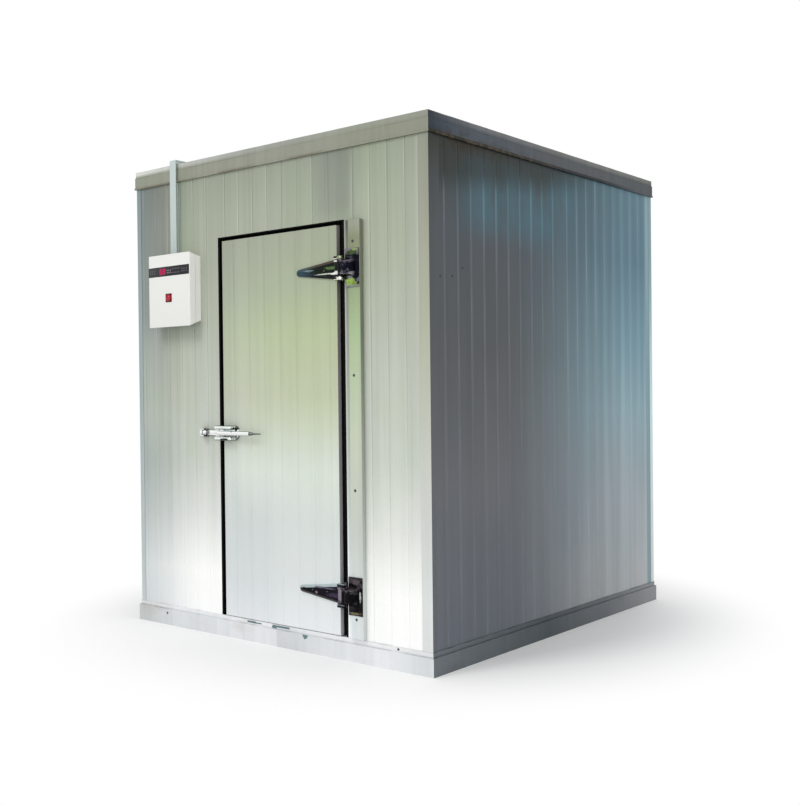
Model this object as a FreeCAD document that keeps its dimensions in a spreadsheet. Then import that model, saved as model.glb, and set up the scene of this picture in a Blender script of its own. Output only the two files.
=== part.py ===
import FreeCAD, Part
import Sketcher
import os
import re

# Walk-in cold room with a hinged door. Lengths are in millimetres.
# X runs right along the front, Y runs back, Z runs up. The origin is the
# middle of the footprint at floor level.

sizes = {
    # Room shell
    "room_width": 1970,
    "room_depth": 2090,
    "room_height": 2400,
    "panel_thickness": 75,
    "side_seam": 1070,
    "rib_pitch": 100,
    "rib_width": 14,
    "rib_depth": 1.5,
    "rib_margin": 43,
    "rib_end": 30,
    "side_rib_margin": 27,
    "seam_rib_margin": 69,
    "seam_rib_pitch": 98,
    "leaf_rib_pitch": 107,
    "leaf_rib_margin": 76,
    # Sheet-metal trims
    "base_height": 82,
    "base_proud": 12,
    "base_lip_height": 22,
    "base_lip_proud": 4,
    "base_seam": 53,
    "fascia_height": 92,
    "fascia_proud": 8,
    "fascia_fold_height": 30,
    "fascia_fold_back": 3,
    "fascia_hem_height": 8,
    "fascia_hem_proud": 3,
    "roof_flange_width": 60,
    "roof_flange_thickness": 3,
    "corner_wide": 55,
    "corner_narrow": 30,
    "corner_thickness": 2,
    # Doorway and its lining
    "door_centre": 80,
    "opening_width": 850,
    "opening_sill": 102,
    "header_height": 410,
    "stop_setback": 31,
    "lining_thickness": 12,
    "lining_head_thickness": 6,
    "stop_width": 34,
    "stop_head_height": 28,
    "sill_step": 16,
    # Door leaf and gasket
    "leaf_side_gap": 40,
    "leaf_top_gap": 22,
    "leaf_bottom_gap": 6,
    "leaf_proud": 8,
    "leaf_flange": 22,
    "plug_side_inset": 13,
    "plug_top_inset": 13,
    "plug_bottom_inset": 20,
    "gasket_side_reach": 16,
    "gasket_top_reach": 10,
    "seat_gap": 0.3,
    # Hinges
    "axis_offset": 17,
    "axis_proud": 48,
    "upper_hinge_drop": 201,
    "lower_hinge_rise": 192,
    "strip_offset": 25,
    "strip_width": 86,
    "strip_proud": 23,
    "strip_bottom_gap": 6,
    "strip_top_gap": 9,
    "butt_width": 81,
    "butt_height": 172,
    "butt_thickness": 5,
    "block_height": 76,
    "block_width": 58,
    "block_slope": 16,
    "block_proud": 60,
    "knuckle_radius": 11,
    "pin_radius": 5,
    "pin_clearance": 0.3,
    "knuckle_gap": 1,
    "fork_height": 15,
    "fork_thickness": 16,
    "web_gap": 5,
    "web_width": 20,
    "web_proud": 50,
    "strap_length": 248,
    "strap_root_height": 100,
    "strap_tip_radius": 13.5,
    "strap_thickness": 9,
    "ridge_root_height": 34,
    "ridge_tip_height": 12,
    "ridge_thickness": 15,
    # Latch
    "latch_height": 1016,
    "keeper_overlap": 80,
    "keeper_width": 45,
    "keeper_height": 44,
    "keeper_depth": 34,
    "tongue_gap": 7,
    "tongue_height": 26,
    "tongue_depth": 18,
    "latch_overhang": 70,
    "latch_width": 185,
    "latch_body_height": 73,
    "latch_plate_depth": 12,
    "latch_corner": 24,
    "lug_height": 19,
    "lug_depth": 42,
    "lug_width": 120,
    "lever_pin_inset": 66,
    "lever_pin_depth": 32,
    "lever_height": 22,
    "lever_eye_radius": 11,
    "lever_thickness": 13,
    "lever_length": 247,
    "lever_tip_length": 57,
    "lever_tip_radius": 4,
    # Control box
    "box_shift": 25,
    "box_width": 324,
    "box_top_drop": 60,
    "box_height": 376,
    "box_depth": 75,
    "box_taper": 20,
    "box_low_taper": 30,
    "display_drop": 64,
    "display_height": 49,
    "display_side_inset": 2,
    "display_recess": 4,
    "display_proud": 1,
    "switch_rise": 151,
    "bezel_width": 46,
    "bezel_height": 43,
    "bezel_rim": 4,
    "bezel_proud": 3,
    "switch_cavity_depth": 16,
    "rocker_gap": 2,
    "rocker_depth": 10,
    "rocker_dip": 3,
    "rocker_pin_radius": 1.5,
    # Cable trunking
    "trunking_shift": 25,
    "trunking_width": 48,
    "trunking_depth": 20,
    "trunking_roof_height": 20,
    "trunking_roof_length": 900,
    "trunking_clearance": 0.3,
    "trunking_notch_margin": 4,
}

# Places worked out from the sizes and from the places above them
places = {
    "right_face": "room_width / 2",
    "left_face": "-room_width / 2",
    "back_face": "room_depth / 2",
    "front_face": "-room_depth / 2",
    "inner_right": "right_face - panel_thickness",
    "inner_left": "left_face + panel_thickness",
    "inner_back": "back_face - panel_thickness",
    "inner_front": "front_face + panel_thickness",
    "side_seam_place": "front_face + side_seam",
    "roof_top": "room_height - roof_flange_thickness",
    "wall_top": "roof_top - panel_thickness",
    "fascia_bottom": "room_height - fascia_height",
    "base_top": "base_height + base_lip_height",
    "opening_head": "room_height - header_height",
    "opening_left": "door_centre - opening_width / 2",
    "opening_right": "door_centre + opening_width / 2",
    "stop_face": "front_face + stop_setback",
    "leaf_left": "opening_left + leaf_side_gap",
    "leaf_right": "opening_right - leaf_side_gap",
    "leaf_bottom": "opening_sill + leaf_bottom_gap",
    "leaf_top": "opening_head - leaf_top_gap",
    "leaf_front": "front_face - leaf_proud",
    "leaf_back": "leaf_front + leaf_flange",
    "axis_x": "opening_right + axis_offset",
    "axis_y": "front_face - axis_proud",
    "strip_left": "opening_right + strip_offset",
    "strip_bottom": "opening_sill + strip_bottom_gap",
    "strip_top": "opening_head - strip_top_gap",
    "upper_hinge_height": "leaf_top - upper_hinge_drop",
    "lower_hinge_height": "leaf_bottom + lower_hinge_rise",
    "strip_front": "front_face - strip_proud",
    "butt_front": "strip_front - butt_thickness",
    "keeper_right": "opening_left - keeper_overlap",
    "latch_left": "leaf_left - latch_overhang",
    "latch_pin_x": "latch_left + lever_pin_inset",
    "latch_pin_y": "leaf_front - lever_pin_depth",
    "box_centre": "(left_face + opening_left) / 2 + box_shift",
    "box_top": "opening_head - box_top_drop",
    "box_front": "front_face - box_depth",
    "box_left": "box_centre - box_width / 2",
    "box_right": "box_centre + box_width / 2",
    "box_bottom": "box_top - box_height",
    "switch_height": "box_bottom + switch_rise",
    "trunking_left": "box_centre - trunking_shift - trunking_width / 2",
    "trunking_right": "box_centre - trunking_shift + trunking_width / 2",
}

doc = FreeCAD.newDocument("ColdRoom")


sheet = doc.addObject("Spreadsheet::Sheet", "Sizes")
entries = {**sizes, **places}
for row, (alias, content) in enumerate(entries.items(), start=1):
    sheet.set("A%d" % row, alias)
    sheet.set("B%d" % row, "=" + content if alias in places else str(content))
    sheet.setAlias("B%d" % row, alias)
doc.recompute()


def expand(expression):
    """Name the sheet in front of each of its words."""
    return re.sub(r"[a-z_]+", lambda word: ("Sizes." if word[0] in entries else "") + word[0],
                  expression)


def value(expression):
    return float(sheet.evalExpression(expand(expression)))


def new_body(name):
    body = doc.addObject("PartDesign::Body", name)
    body.Label = name
    return body


def origin_plane(body, role):
    return next(item for item in body.Origin.OriginFeatures if item.Role == role)


def new_sketch(body, plane, level):
    """A sketch on one of the body's own planes, moved along the plane's normal to a level."""
    sketch = body.newObject("Sketcher::SketchObject", body.Name + "_sketch")
    sketch.AttachmentSupport = [(origin_plane(body, plane + "_Plane"), "")]
    sketch.MapMode = "FlatFace"
    sketch.setExpression(".AttachmentOffset.Base.z", expand(level))
    return sketch


def bind(sketch, kind, geometry, point, expression):
    """Fix one coordinate of a point, measured from the sketch's origin."""
    constraint = Sketcher.Constraint(kind, -1, 1, geometry, point, value(expression))
    index = sketch.addConstraint(constraint)
    sketch.setExpression("Constraints[%d]" % index, expand(expression))


def draw_outline(sketch, corners):
    """A closed outline of straight lines with every corner bound to the sheet."""
    points = [FreeCAD.Vector(value(u), value(v), 0) for u, v in corners]
    start = sketch.GeometryCount
    count = len(points)
    for number in range(count):
        sketch.addGeometry(Part.LineSegment(points[number], points[(number + 1) % count]))
    for number in range(count):
        following = start + (number + 1) % count
        sketch.addConstraint(Sketcher.Constraint("Coincident", start + number, 2, following, 1))
    for number, (u, v) in enumerate(corners):
        bind(sketch, "DistanceX", start + number, 1, u)
        bind(sketch, "DistanceY", start + number, 1, v)


def draw_circle(sketch, u, v, radius):
    centre = FreeCAD.Vector(value(u), value(v), 0)
    index = sketch.addGeometry(Part.Circle(centre, FreeCAD.Vector(0, 0, 1), value(radius)))
    bind(sketch, "DistanceX", index, 3, u)
    bind(sketch, "DistanceY", index, 3, v)
    number = sketch.addConstraint(Sketcher.Constraint("Radius", index, value(radius)))
    sketch.setExpression("Constraints[%d]" % number, expand(radius))


def extrude(body, sketch, length, kind="Pad"):
    """A pad, or a pocket that cuts the same way as the sketch's normal."""
    feature = body.newObject("PartDesign::" + kind, body.Name + "_" + kind.lower())
    feature.Profile = sketch
    feature.setExpression("Length", expand(length))
    feature.Reversed = kind == "Pocket"
    sketch.Visibility = False
    return feature


def rectangle(x, y):
    return [(x[0], y[0]), (x[1], y[0]), (x[1], y[1]), (x[0], y[1])]


def add_block(body, x, y, z, kind="Pad"):
    """A rectangular block, or a rectangular cut, between low and high expressions."""
    sketch = new_sketch(body, "XY", z[0])
    draw_outline(sketch, rectangle(x, y))
    return extrude(body, sketch, "(%s) - (%s)" % (z[1], z[0]), kind)


def add_plan(body, corners, z, kind="Pad"):
    """An outline seen from above, extruded between two heights."""
    sketch = new_sketch(body, "XY", z[0])
    draw_outline(sketch, corners)
    return extrude(body, sketch, "(%s) - (%s)" % (z[1], z[0]), kind)


def add_round(body, x, y, radius, z, kind="Pad"):
    """An upright cylinder, or a round cut."""
    sketch = new_sketch(body, "XY", z[0])
    draw_circle(sketch, x, y, radius)
    return extrude(body, sketch, "(%s) - (%s)" % (z[1], z[0]), kind)


def add_front(body, corners, back, depth, kind="Pad"):
    """An outline seen from the front, extruded forwards from a place on Y."""
    sketch = new_sketch(body, "XZ", "-(%s)" % back)
    draw_outline(sketch, corners)
    return extrude(body, sketch, depth, kind)


def add_ribs(body, axis, first, end, face, z, outward, pitch="rib_pitch"):
    """Upright V grooves along one outer face, at an even pitch from the first one's edge."""
    bottom = "%s %s rib_depth" % (face, "-" if outward > 0 else "+")
    middle = "%s + rib_width / 2" % first
    far = "%s + rib_width" % first
    corners = [(first, face), (far, face), (middle, bottom)]
    if axis == "Y":
        corners = [(v, u) for u, v in corners]
    groove = add_plan(body, corners, z, "Pocket")
    pattern = body.newObject("PartDesign::LinearPattern", body.Name + "_ribs")
    pattern.Originals = [groove]
    pattern.Direction = (origin_plane(body, axis + "_Axis"), [""])
    pattern.Mode = "Spacing"
    pattern.setExpression("Offset", expand(pitch))
    count = "floor((%s - (%s) - rib_end) / %s) + 1" % (end, first, pitch)
    pattern.setExpression("Occurrences", expand(count))
    body.Tip = pattern
    return pattern


def slab(name, x, y, z):
    body = new_body(name)
    add_block(body, x, y, z)
    return body


def make_shell():
    """Insulated panels: floor, four walls and roof."""
    depth = ("front_face", "inner_front")
    height = ("0", "wall_top")
    slab("floor_panel", ("inner_left", "inner_right"), ("inner_front", "inner_back"),
         ("0", "panel_thickness"))
    left = slab("front_wall_left", ("left_face", "opening_left"), depth, height)
    add_ribs(left, "X", "left_face + rib_margin", "opening_left", "front_face", height, -1)
    right = slab("front_wall_right", ("opening_right", "right_face"), depth, height)
    add_ribs(right, "X", "opening_right + rib_margin", "right_face", "front_face", height, -1)
    over_height = ("opening_head", "wall_top")
    over = slab("front_wall_header", ("opening_left", "opening_right"), depth, over_height)
    add_ribs(over, "X", "opening_left + rib_margin", "opening_right", "front_face", over_height, -1)
    for side, x, face, outward in (
            ("right", ("inner_right", "right_face"), "right_face", 1),
            ("left", ("left_face", "inner_left"), "left_face", -1)):
        front = slab(side + "_wall_front_panel", x, ("inner_front", "side_seam_place"), height)
        add_ribs(front, "Y", "inner_front + side_rib_margin", "side_seam_place", face, height,
                 outward)
        back = slab(side + "_wall_back_panel", x, ("side_seam_place", "inner_back"), height)
        add_ribs(back, "Y", "side_seam_place + seam_rib_margin", "inner_back", face, height,
                 outward, "seam_rib_pitch")
    for side, x in (("left", ("left_face", "0")), ("right", ("0", "right_face"))):
        panel = slab("back_wall_%s_panel" % side, x, ("inner_back", "back_face"), height)
        add_ribs(panel, "X", "%s + rib_margin" % x[0], x[1], "back_face", height, 1)
    slab("roof_front_panel", ("left_face", "right_face"), ("front_face", "0"),
         ("wall_top", "roof_top"))
    slab("roof_back_panel", ("left_face", "right_face"), ("0", "back_face"),
         ("wall_top", "roof_top"))


def make_trim(name, side, steps, ends=None):
    """A mitred strip along one side. Each step is (inner, outer, low, high), where inner
    and outer are distances out from the wall's face."""
    body = new_body(name)
    faces = {"front": ("Y", "front_face", "-"), "back": ("Y", "back_face", "+"),
             "left": ("X", "left_face", "-"), "right": ("X", "right_face", "+")}
    across, face, sign = faces[side]
    for inner, outer, low, high in steps:
        near = "%s %s (%s)" % (face, sign, inner)
        far = "%s %s (%s)" % (face, sign, outer)
        low_face, high_face = ("left_face", "right_face") if across == "Y" else \
            ("front_face", "back_face")
        starts = ["%s - (%s)" % (low_face, inner), "%s - (%s)" % (low_face, outer)]
        stops = ["%s + (%s)" % (high_face, inner), "%s + (%s)" % (high_face, outer)]
        if ends and ends[0]:
            starts = [ends[0], ends[0]]
        if ends and ends[1]:
            stops = [ends[1], ends[1]]
        corners = [(starts[0], near), (stops[0], near), (stops[1], far), (starts[1], far)]
        if across == "X":
            corners = [(v, u) for u, v in corners]
        add_plan(body, corners, (low, high))
    return body


def make_trims():
    """Base channels, fascia and corner angles."""
    base = [("0", "base_proud", "0", "base_height"),
            ("0", "base_lip_proud", "base_height", "base_top")]
    make_trim("base_channel_front_left", "front", base, (None, "base_seam"))
    make_trim("base_channel_front_right", "front", base, ("base_seam", None))
    for side in ("right", "left", "back"):
        make_trim("base_channel_" + side, side, base)
    fold = "room_height - fascia_fold_height"
    hem_top = "fascia_bottom + fascia_hem_height"
    fascia = [("0", "fascia_proud + fascia_hem_proud", "fascia_bottom", hem_top),
              ("0", "fascia_proud", hem_top, fold),
              ("0", "fascia_proud - fascia_fold_back", fold, "room_height"),
              ("-roof_flange_width", "0", "roof_top", "room_height")]
    for side in ("front", "right", "left", "back"):
        make_trim("fascia_" + side, side, fascia)
    for end, x_sign, y_face, y_sign in (("front", "", "front_face", "-"),
                                        ("back", "", "back_face", "+")):
        for side, x_face, x_out in (("right", "right_face", "+"), ("left", "left_face", "-")):
            make_corner("corner_trim_%s_%s" % (end, side), x_face, x_out, y_face, y_sign,
                        side == "right")


def make_corner(name, x_face, x_out, y_face, y_out, wide_on_front):
    """A bent angle that covers an upright corner of the walls."""
    along_x = "corner_wide" if wide_on_front else "corner_narrow"
    along_y = "corner_narrow" if wide_on_front else "corner_wide"
    x_in = "-" if x_out == "+" else "+"
    y_in = "-" if y_out == "+" else "+"
    outer_x = "%s %s corner_thickness" % (x_face, x_out)
    outer_y = "%s %s corner_thickness" % (y_face, y_out)
    far_x = "%s %s %s" % (x_face, x_in, along_x)
    far_y = "%s %s %s" % (y_face, y_in, along_y)
    corners = [(outer_x, outer_y), (far_x, outer_y), (far_x, y_face), (x_face, y_face),
               (x_face, far_y), (outer_x, far_y)]
    add_plan(new_body(name), corners, ("base_top", "fascia_bottom"))


def make_doorway():
    """Threshold, black lining with its stop, and the strip that the hinges stand on."""
    threshold = slab("door_threshold", ("opening_left", "opening_right"),
                     ("front_face", "inner_front"), ("0", "opening_sill"))
    stop_left = "opening_left + stop_width"
    stop_right = "opening_right - stop_width"
    add_block(threshold, ("opening_left", "opening_right"), ("stop_face", "inner_front"),
              ("opening_sill", "opening_sill + sill_step"))
    for side, edge, inward in (("left", "opening_left", "+"), ("right", "opening_right", "-")):
        body = new_body("door_frame_" + side)
        lining = "%s %s lining_thickness" % (edge, inward)
        stop = "%s %s stop_width" % (edge, inward)
        front = ("opening_sill", "opening_head")
        back = ("opening_sill + sill_step", "opening_head")
        add_plan(body, rectangle((edge, lining), ("front_face", "stop_face")), front)
        add_plan(body, rectangle((edge, stop), ("stop_face", "inner_front")), back)
    head = slab("door_frame_head",
                ("opening_left + lining_thickness", "opening_right - lining_thickness"),
                ("front_face", "stop_face"), ("opening_head - lining_head_thickness",
                                              "opening_head"))
    add_block(head, (stop_left, stop_right), ("stop_face", "inner_front"),
              ("opening_head - stop_head_height", "opening_head"))
    slab("hinge_strip", ("strip_left", "strip_left + strip_width"),
         ("strip_front", "front_face"), ("strip_bottom", "strip_top"))


def make_leaf():
    """Door leaf: a flange that shows, and a plug that fills the opening."""
    leaf = slab("door_leaf", ("leaf_left", "leaf_right"), ("leaf_front", "leaf_back"),
                ("leaf_bottom", "leaf_top"))
    plug = (("leaf_left + plug_side_inset", "leaf_right - plug_side_inset"),
            ("leaf_bottom + plug_bottom_inset", "leaf_top - plug_top_inset"))
    add_block(leaf, plug[0], ("leaf_back", "inner_front"), plug[1])
    add_ribs(leaf, "X", "leaf_left + leaf_rib_margin", "leaf_right", "leaf_front",
             ("leaf_bottom", "leaf_top"), -1, "leaf_rib_pitch")
    gasket = new_body("door_gasket")
    rim = rectangle(("leaf_left - gasket_side_reach", "leaf_right + gasket_side_reach"),
                    ("leaf_bottom", "leaf_top + gasket_top_reach"))
    sketch = new_sketch(gasket, "XZ", "-(stop_face - seat_gap)")
    draw_outline(sketch, rim)
    draw_outline(sketch, rectangle(*plug))
    extrude(gasket, sketch, "stop_face - seat_gap - leaf_back")


def make_hinge(level, height):
    """One hinge: a butt on the strip with a fixed pin, and a long strap on the leaf."""
    half_block = "block_height / 2"
    fork_low = "%s + knuckle_gap" % half_block
    fork_high = "%s + knuckle_gap + fork_height" % half_block
    butt = new_body("hinge_butt_" + level)
    butt_left = "strip_left + (strip_width - butt_width) / 2"
    add_block(butt, (butt_left, "%s + butt_width" % butt_left), ("butt_front", "strip_front"),
              ("%s - butt_height / 2" % height, "%s + butt_height / 2" % height))
    block = ("%s - %s" % (height, half_block), "%s + %s" % (height, half_block))
    block_right = "%s + block_width" % butt_left
    block_front = "front_face - block_proud"
    add_plan(butt, [(butt_left, "butt_front"), (butt_left, block_front),
                    ("%s - block_slope" % block_right, block_front),
                    (block_right, "butt_front")], block)
    arm = ("axis_y - knuckle_radius", "axis_y + knuckle_radius / 2")
    add_block(butt, ("axis_x", butt_left), arm, block)
    add_round(butt, "axis_x", "axis_y", "knuckle_radius", block)
    add_round(butt, "axis_x", "axis_y", "pin_radius",
              ("%s - (%s)" % (height, fork_high), "%s + %s" % (height, fork_high)))

    strap = new_body("hinge_strap_" + level)
    tip = "leaf_right - strap_length"
    centre = "%s + strap_tip_radius" % tip
    web = ("axis_x - knuckle_radius - web_gap - web_width", "axis_x - knuckle_radius - web_gap")
    outline = [(web[1], "%s - strap_root_height / 2" % height),
               (web[1], "%s + strap_root_height / 2" % height),
               (centre, "%s + strap_tip_radius" % height),
               (centre, "%s - strap_tip_radius" % height)]
    add_front(strap, outline, "leaf_front", "strap_thickness")
    sketch = new_sketch(strap, "XZ", "-leaf_front")
    draw_circle(sketch, centre, height, "strap_tip_radius")
    extrude(strap, sketch, "strap_thickness")
    ridge = [(web[1], "%s - ridge_root_height / 2" % height),
             (web[1], "%s + ridge_root_height / 2" % height),
             (centre, "%s + ridge_tip_height / 2" % height),
             (centre, "%s - ridge_tip_height / 2" % height)]
    add_front(strap, ridge, "leaf_front", "ridge_thickness")
    web_depth = ("front_face - web_proud", "leaf_front")
    add_block(strap, web, web_depth,
              ("%s - (%s)" % (height, fork_high), "%s + %s" % (height, fork_high)))
    fork_depth = ("axis_y - fork_thickness / 2", "axis_y + fork_thickness / 2")
    for low, high in (("-(%s)" % fork_high, "-(%s)" % fork_low), (fork_low, fork_high)):
        ends = ("%s + %s" % (height, low), "%s + %s" % (height, high))
        add_block(strap, (web[0], "axis_x"), fork_depth, ends)
        add_round(strap, "axis_x", "axis_y", "knuckle_radius", ends)
    bore = "pin_radius + pin_clearance"
    add_round(strap, "axis_x", "axis_y", bore,
              ("%s - (%s)" % (height, fork_high), "%s + %s" % (height, fork_high)), "Pocket")


def make_latch():
    """Keeper on the wall, latch body on the leaf and a lever that pulls outwards."""
    keeper_height = ("latch_height - keeper_height / 2", "latch_height + keeper_height / 2")
    slab("latch_keeper", ("keeper_right - keeper_width", "keeper_right"),
         ("front_face - keeper_depth", "front_face"), keeper_height)
    body = new_body("latch_body")
    half = "latch_body_height / 2"
    latch_right = "latch_left + latch_width"
    near_left, near_right = "latch_left + latch_corner", "%s - latch_corner" % latch_right
    low, high = "latch_height - %s" % half, "latch_height + %s" % half
    near_low, near_high = "%s + latch_corner" % low, "%s - latch_corner" % high
    plate = [(near_left, low), (near_right, low), (latch_right, near_low),
             (latch_right, near_high), (near_right, high), (near_left, high),
             ("latch_left", near_high), ("latch_left", near_low)]
    add_front(body, plate, "leaf_front", "latch_plate_depth")
    add_block(body, ("keeper_right + tongue_gap", "latch_left"),
              ("leaf_front - tongue_depth", "leaf_front"),
              ("latch_height - tongue_height / 2", "latch_height + tongue_height / 2"))
    lug_left = "latch_left + (latch_width - lug_width) / 2"
    for low, high in (("-%s" % half, "-%s + lug_height" % half),
                      ("%s - lug_height" % half, half)):
        add_block(body, (lug_left, "%s + lug_width" % lug_left),
                  ("leaf_front - lug_depth", "leaf_front - latch_plate_depth"),
                  ("latch_height + %s" % low, "latch_height + %s" % high))
    add_round(body, "latch_pin_x", "latch_pin_y", "pin_radius",
              ("latch_height - %s" % half, "latch_height + %s" % half))

    lever = new_body("latch_lever")
    bar = ("latch_height - lever_height / 2", "latch_height + lever_height / 2")
    depth = ("latch_pin_y - lever_eye_radius", "latch_pin_y - lever_eye_radius + lever_thickness")
    bar_end = "latch_pin_x + lever_length"
    add_round(lever, "latch_pin_x", "latch_pin_y", "lever_eye_radius", bar)
    add_block(lever, ("latch_pin_x", bar_end), depth, bar)
    add_plan(lever, [(bar_end, depth[0]), ("%s + lever_tip_length" % bar_end,
                                           "%s + lever_thickness / 2 - lever_tip_radius" % depth[0]),
                     ("%s + lever_tip_length" % bar_end,
                      "%s + lever_thickness / 2 + lever_tip_radius" % depth[0]),
                     (bar_end, depth[1])],
             ("latch_height - lever_tip_radius", "latch_height + lever_tip_radius"))
    add_round(lever, "latch_pin_x", "latch_pin_y", "pin_radius + pin_clearance", bar, "Pocket")


def make_controls():
    """Control box with a display strip and a rocker switch."""
    box = new_body("control_box")
    sketch = new_sketch(box, "YZ", "box_left")
    draw_outline(sketch, [("box_front", "box_bottom"), ("front_face", "box_bottom + box_low_taper"),
                          ("front_face", "box_top - box_taper"), ("box_front", "box_top")])
    extrude(box, sketch, "box_width")
    display_z = ("box_top - display_drop - display_height", "box_top - display_drop")
    display_x = ("box_left + display_side_inset", "box_right - display_side_inset")
    add_block(box, display_x, ("box_front", "box_front + display_recess"), display_z, "Pocket")
    hole_x = ("box_centre - bezel_width / 2 + bezel_rim", "box_centre + bezel_width / 2 - bezel_rim")
    hole_z = ("switch_height - bezel_height / 2 + bezel_rim",
              "switch_height + bezel_height / 2 - bezel_rim")
    add_block(box, hole_x, ("box_front", "box_front + switch_cavity_depth"), hole_z, "Pocket")
    slab("control_display", display_x,
         ("box_front - display_proud", "box_front + display_recess"), display_z)
    bezel = new_body("switch_bezel")
    sketch = new_sketch(bezel, "XZ", "-box_front")
    draw_outline(sketch, rectangle(("box_centre - bezel_width / 2", "box_centre + bezel_width / 2"),
                                   ("switch_height - bezel_height / 2",
                                    "switch_height + bezel_height / 2")))
    draw_outline(sketch, rectangle(hole_x, hole_z))
    extrude(bezel, sketch, "bezel_proud")
    rocker = new_body("rocker_switch")
    half = "(bezel_height / 2 - bezel_rim - rocker_gap)"
    front = "box_front - bezel_proud"
    back = "box_front + rocker_depth"
    profile = [(back, "switch_height - rocker_depth / 2"),
               (back, "switch_height + rocker_depth / 2"),
               ("box_front", "switch_height + %s" % half),
               (front, "switch_height + %s" % half),
               ("%s + rocker_dip / 2" % front, "switch_height"),
               ("%s - rocker_dip" % front, "switch_height - %s" % half),
               ("box_front", "switch_height - %s" % half)]
    rocker_x = ("%s + rocker_gap" % hole_x[0], "%s - rocker_gap" % hole_x[1])
    sketch = new_sketch(rocker, "YZ", rocker_x[0])
    draw_outline(sketch, profile)
    extrude(rocker, sketch, "(%s) - (%s)" % (rocker_x[1], rocker_x[0]))
    pin = new_sketch(rocker, "YZ", "%s + pin_clearance" % hole_x[0])
    draw_circle(pin, "box_front + rocker_depth / 2", "switch_height", "rocker_pin_radius")
    extrude(rocker, pin, "(%s) - (%s) - 2 * pin_clearance" % (hole_x[1], hole_x[0]))


def make_trunking():
    """White cable trunking from the control box over the fascia and back along the roof."""
    outer = "front_face - trunking_depth"
    step = "front_face - fascia_proud - fascia_hem_proud - trunking_clearance"
    notch = "fascia_bottom - trunking_notch_margin"
    top = "room_height + trunking_roof_height"
    riser = new_body("cable_trunking_riser")
    sketch = new_sketch(riser, "YZ", "trunking_left")
    foot = "box_top - box_taper * (1 - trunking_depth / box_depth)"
    draw_outline(sketch, [("front_face", "box_top - box_taper"), ("front_face", notch),
                          (step, notch), (step, top), (outer, top), (outer, foot)])
    extrude(riser, sketch, "trunking_width")
    slab("cable_trunking_roof", ("trunking_left", "trunking_right"),
         (step, "%s + trunking_roof_length" % step), ("room_height", top))


make_shell()
make_trims()
make_doorway()
make_leaf()
make_hinge("upper", "upper_hinge_height")
make_hinge("lower", "lower_hinge_height")
make_latch()
make_controls()
make_trunking()
doc.recompute()

for item in doc.Objects:
    if "Invalid" in item.State or "Error" in item.State:
        raise RuntimeError("%s did not build: %s" % (item.Label, item.State))

os.makedirs("parts", exist_ok=True)
bodies = [item for item in doc.Objects if item.TypeId == "PartDesign::Body"]
for body in bodies:
    shape = body.Shape
    if shape.isNull() or not shape.isValid():
        raise RuntimeError("%s has no valid shape" % body.Label)
    if len(shape.Solids) != 1:
        raise RuntimeError("%s has %d solids" % (body.Label, len(shape.Solids)))
    shape.exportStep("parts/%s.step" % body.Label)
    box = shape.BoundBox
    print("%-26s %8.1f cm3  x %7.1f %7.1f  y %7.1f %7.1f  z %7.1f %7.1f" % (
        body.Label, shape.Volume / 1000, box.XMin, box.XMax, box.YMin, box.YMax,
        box.ZMin, box.ZMax))
print("%d sub-parts written" % len(bodies))
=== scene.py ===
import math
import bmesh
import bpy
from mathutils import Matrix, Vector


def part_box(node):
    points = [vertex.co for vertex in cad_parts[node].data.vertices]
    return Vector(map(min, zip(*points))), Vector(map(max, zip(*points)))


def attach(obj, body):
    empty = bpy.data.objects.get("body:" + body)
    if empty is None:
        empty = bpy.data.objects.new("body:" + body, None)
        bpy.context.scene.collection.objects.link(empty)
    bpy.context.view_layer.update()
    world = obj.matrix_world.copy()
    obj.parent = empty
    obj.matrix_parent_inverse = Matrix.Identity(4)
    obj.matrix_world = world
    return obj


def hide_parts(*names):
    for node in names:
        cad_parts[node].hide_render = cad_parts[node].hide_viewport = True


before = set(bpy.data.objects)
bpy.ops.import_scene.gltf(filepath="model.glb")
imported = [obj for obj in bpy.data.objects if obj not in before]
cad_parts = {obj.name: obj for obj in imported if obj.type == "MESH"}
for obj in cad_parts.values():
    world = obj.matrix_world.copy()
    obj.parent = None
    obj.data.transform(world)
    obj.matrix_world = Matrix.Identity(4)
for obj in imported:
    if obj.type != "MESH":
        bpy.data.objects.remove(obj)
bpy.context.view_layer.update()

scene = bpy.context.scene
scene.view_settings.view_transform = "Standard"
print("frame loaded,", len(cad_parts), "nodes")

# The photograph's view: a normal lens at chest height, in front of the right-hand corner
view = {
    "place": (3.730, -4.628, 1.217),
    "turn": 39.09,          # degrees about the upright axis
    "tilt": -0.64,
    "roll": 0.61,
    "lens": 48.05,
    "sensor": 36.0,
}
cameraData = bpy.data.cameras.new("photoCamera")
cameraData.sensor_fit = "HORIZONTAL"
cameraData.sensor_width = view["sensor"]
cameraData.lens = view["lens"]
camera = bpy.data.objects.new("photoCamera", cameraData)
camera.location = view["place"]
camera.rotation_euler = (math.radians(90 + view["tilt"]), math.radians(view["roll"]),
                         math.radians(view["turn"]))
scene.collection.objects.link(camera)
scene.camera = camera


def tint(red, green, blue):  # a colour as it looks on a screen, in the shader's linear values
    linear = [((part + 0.055) / 1.055) ** 2.4 if part > 0.04 else part / 12.92
              for part in (red, green, blue)]
    return (*linear, 1.0)


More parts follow.
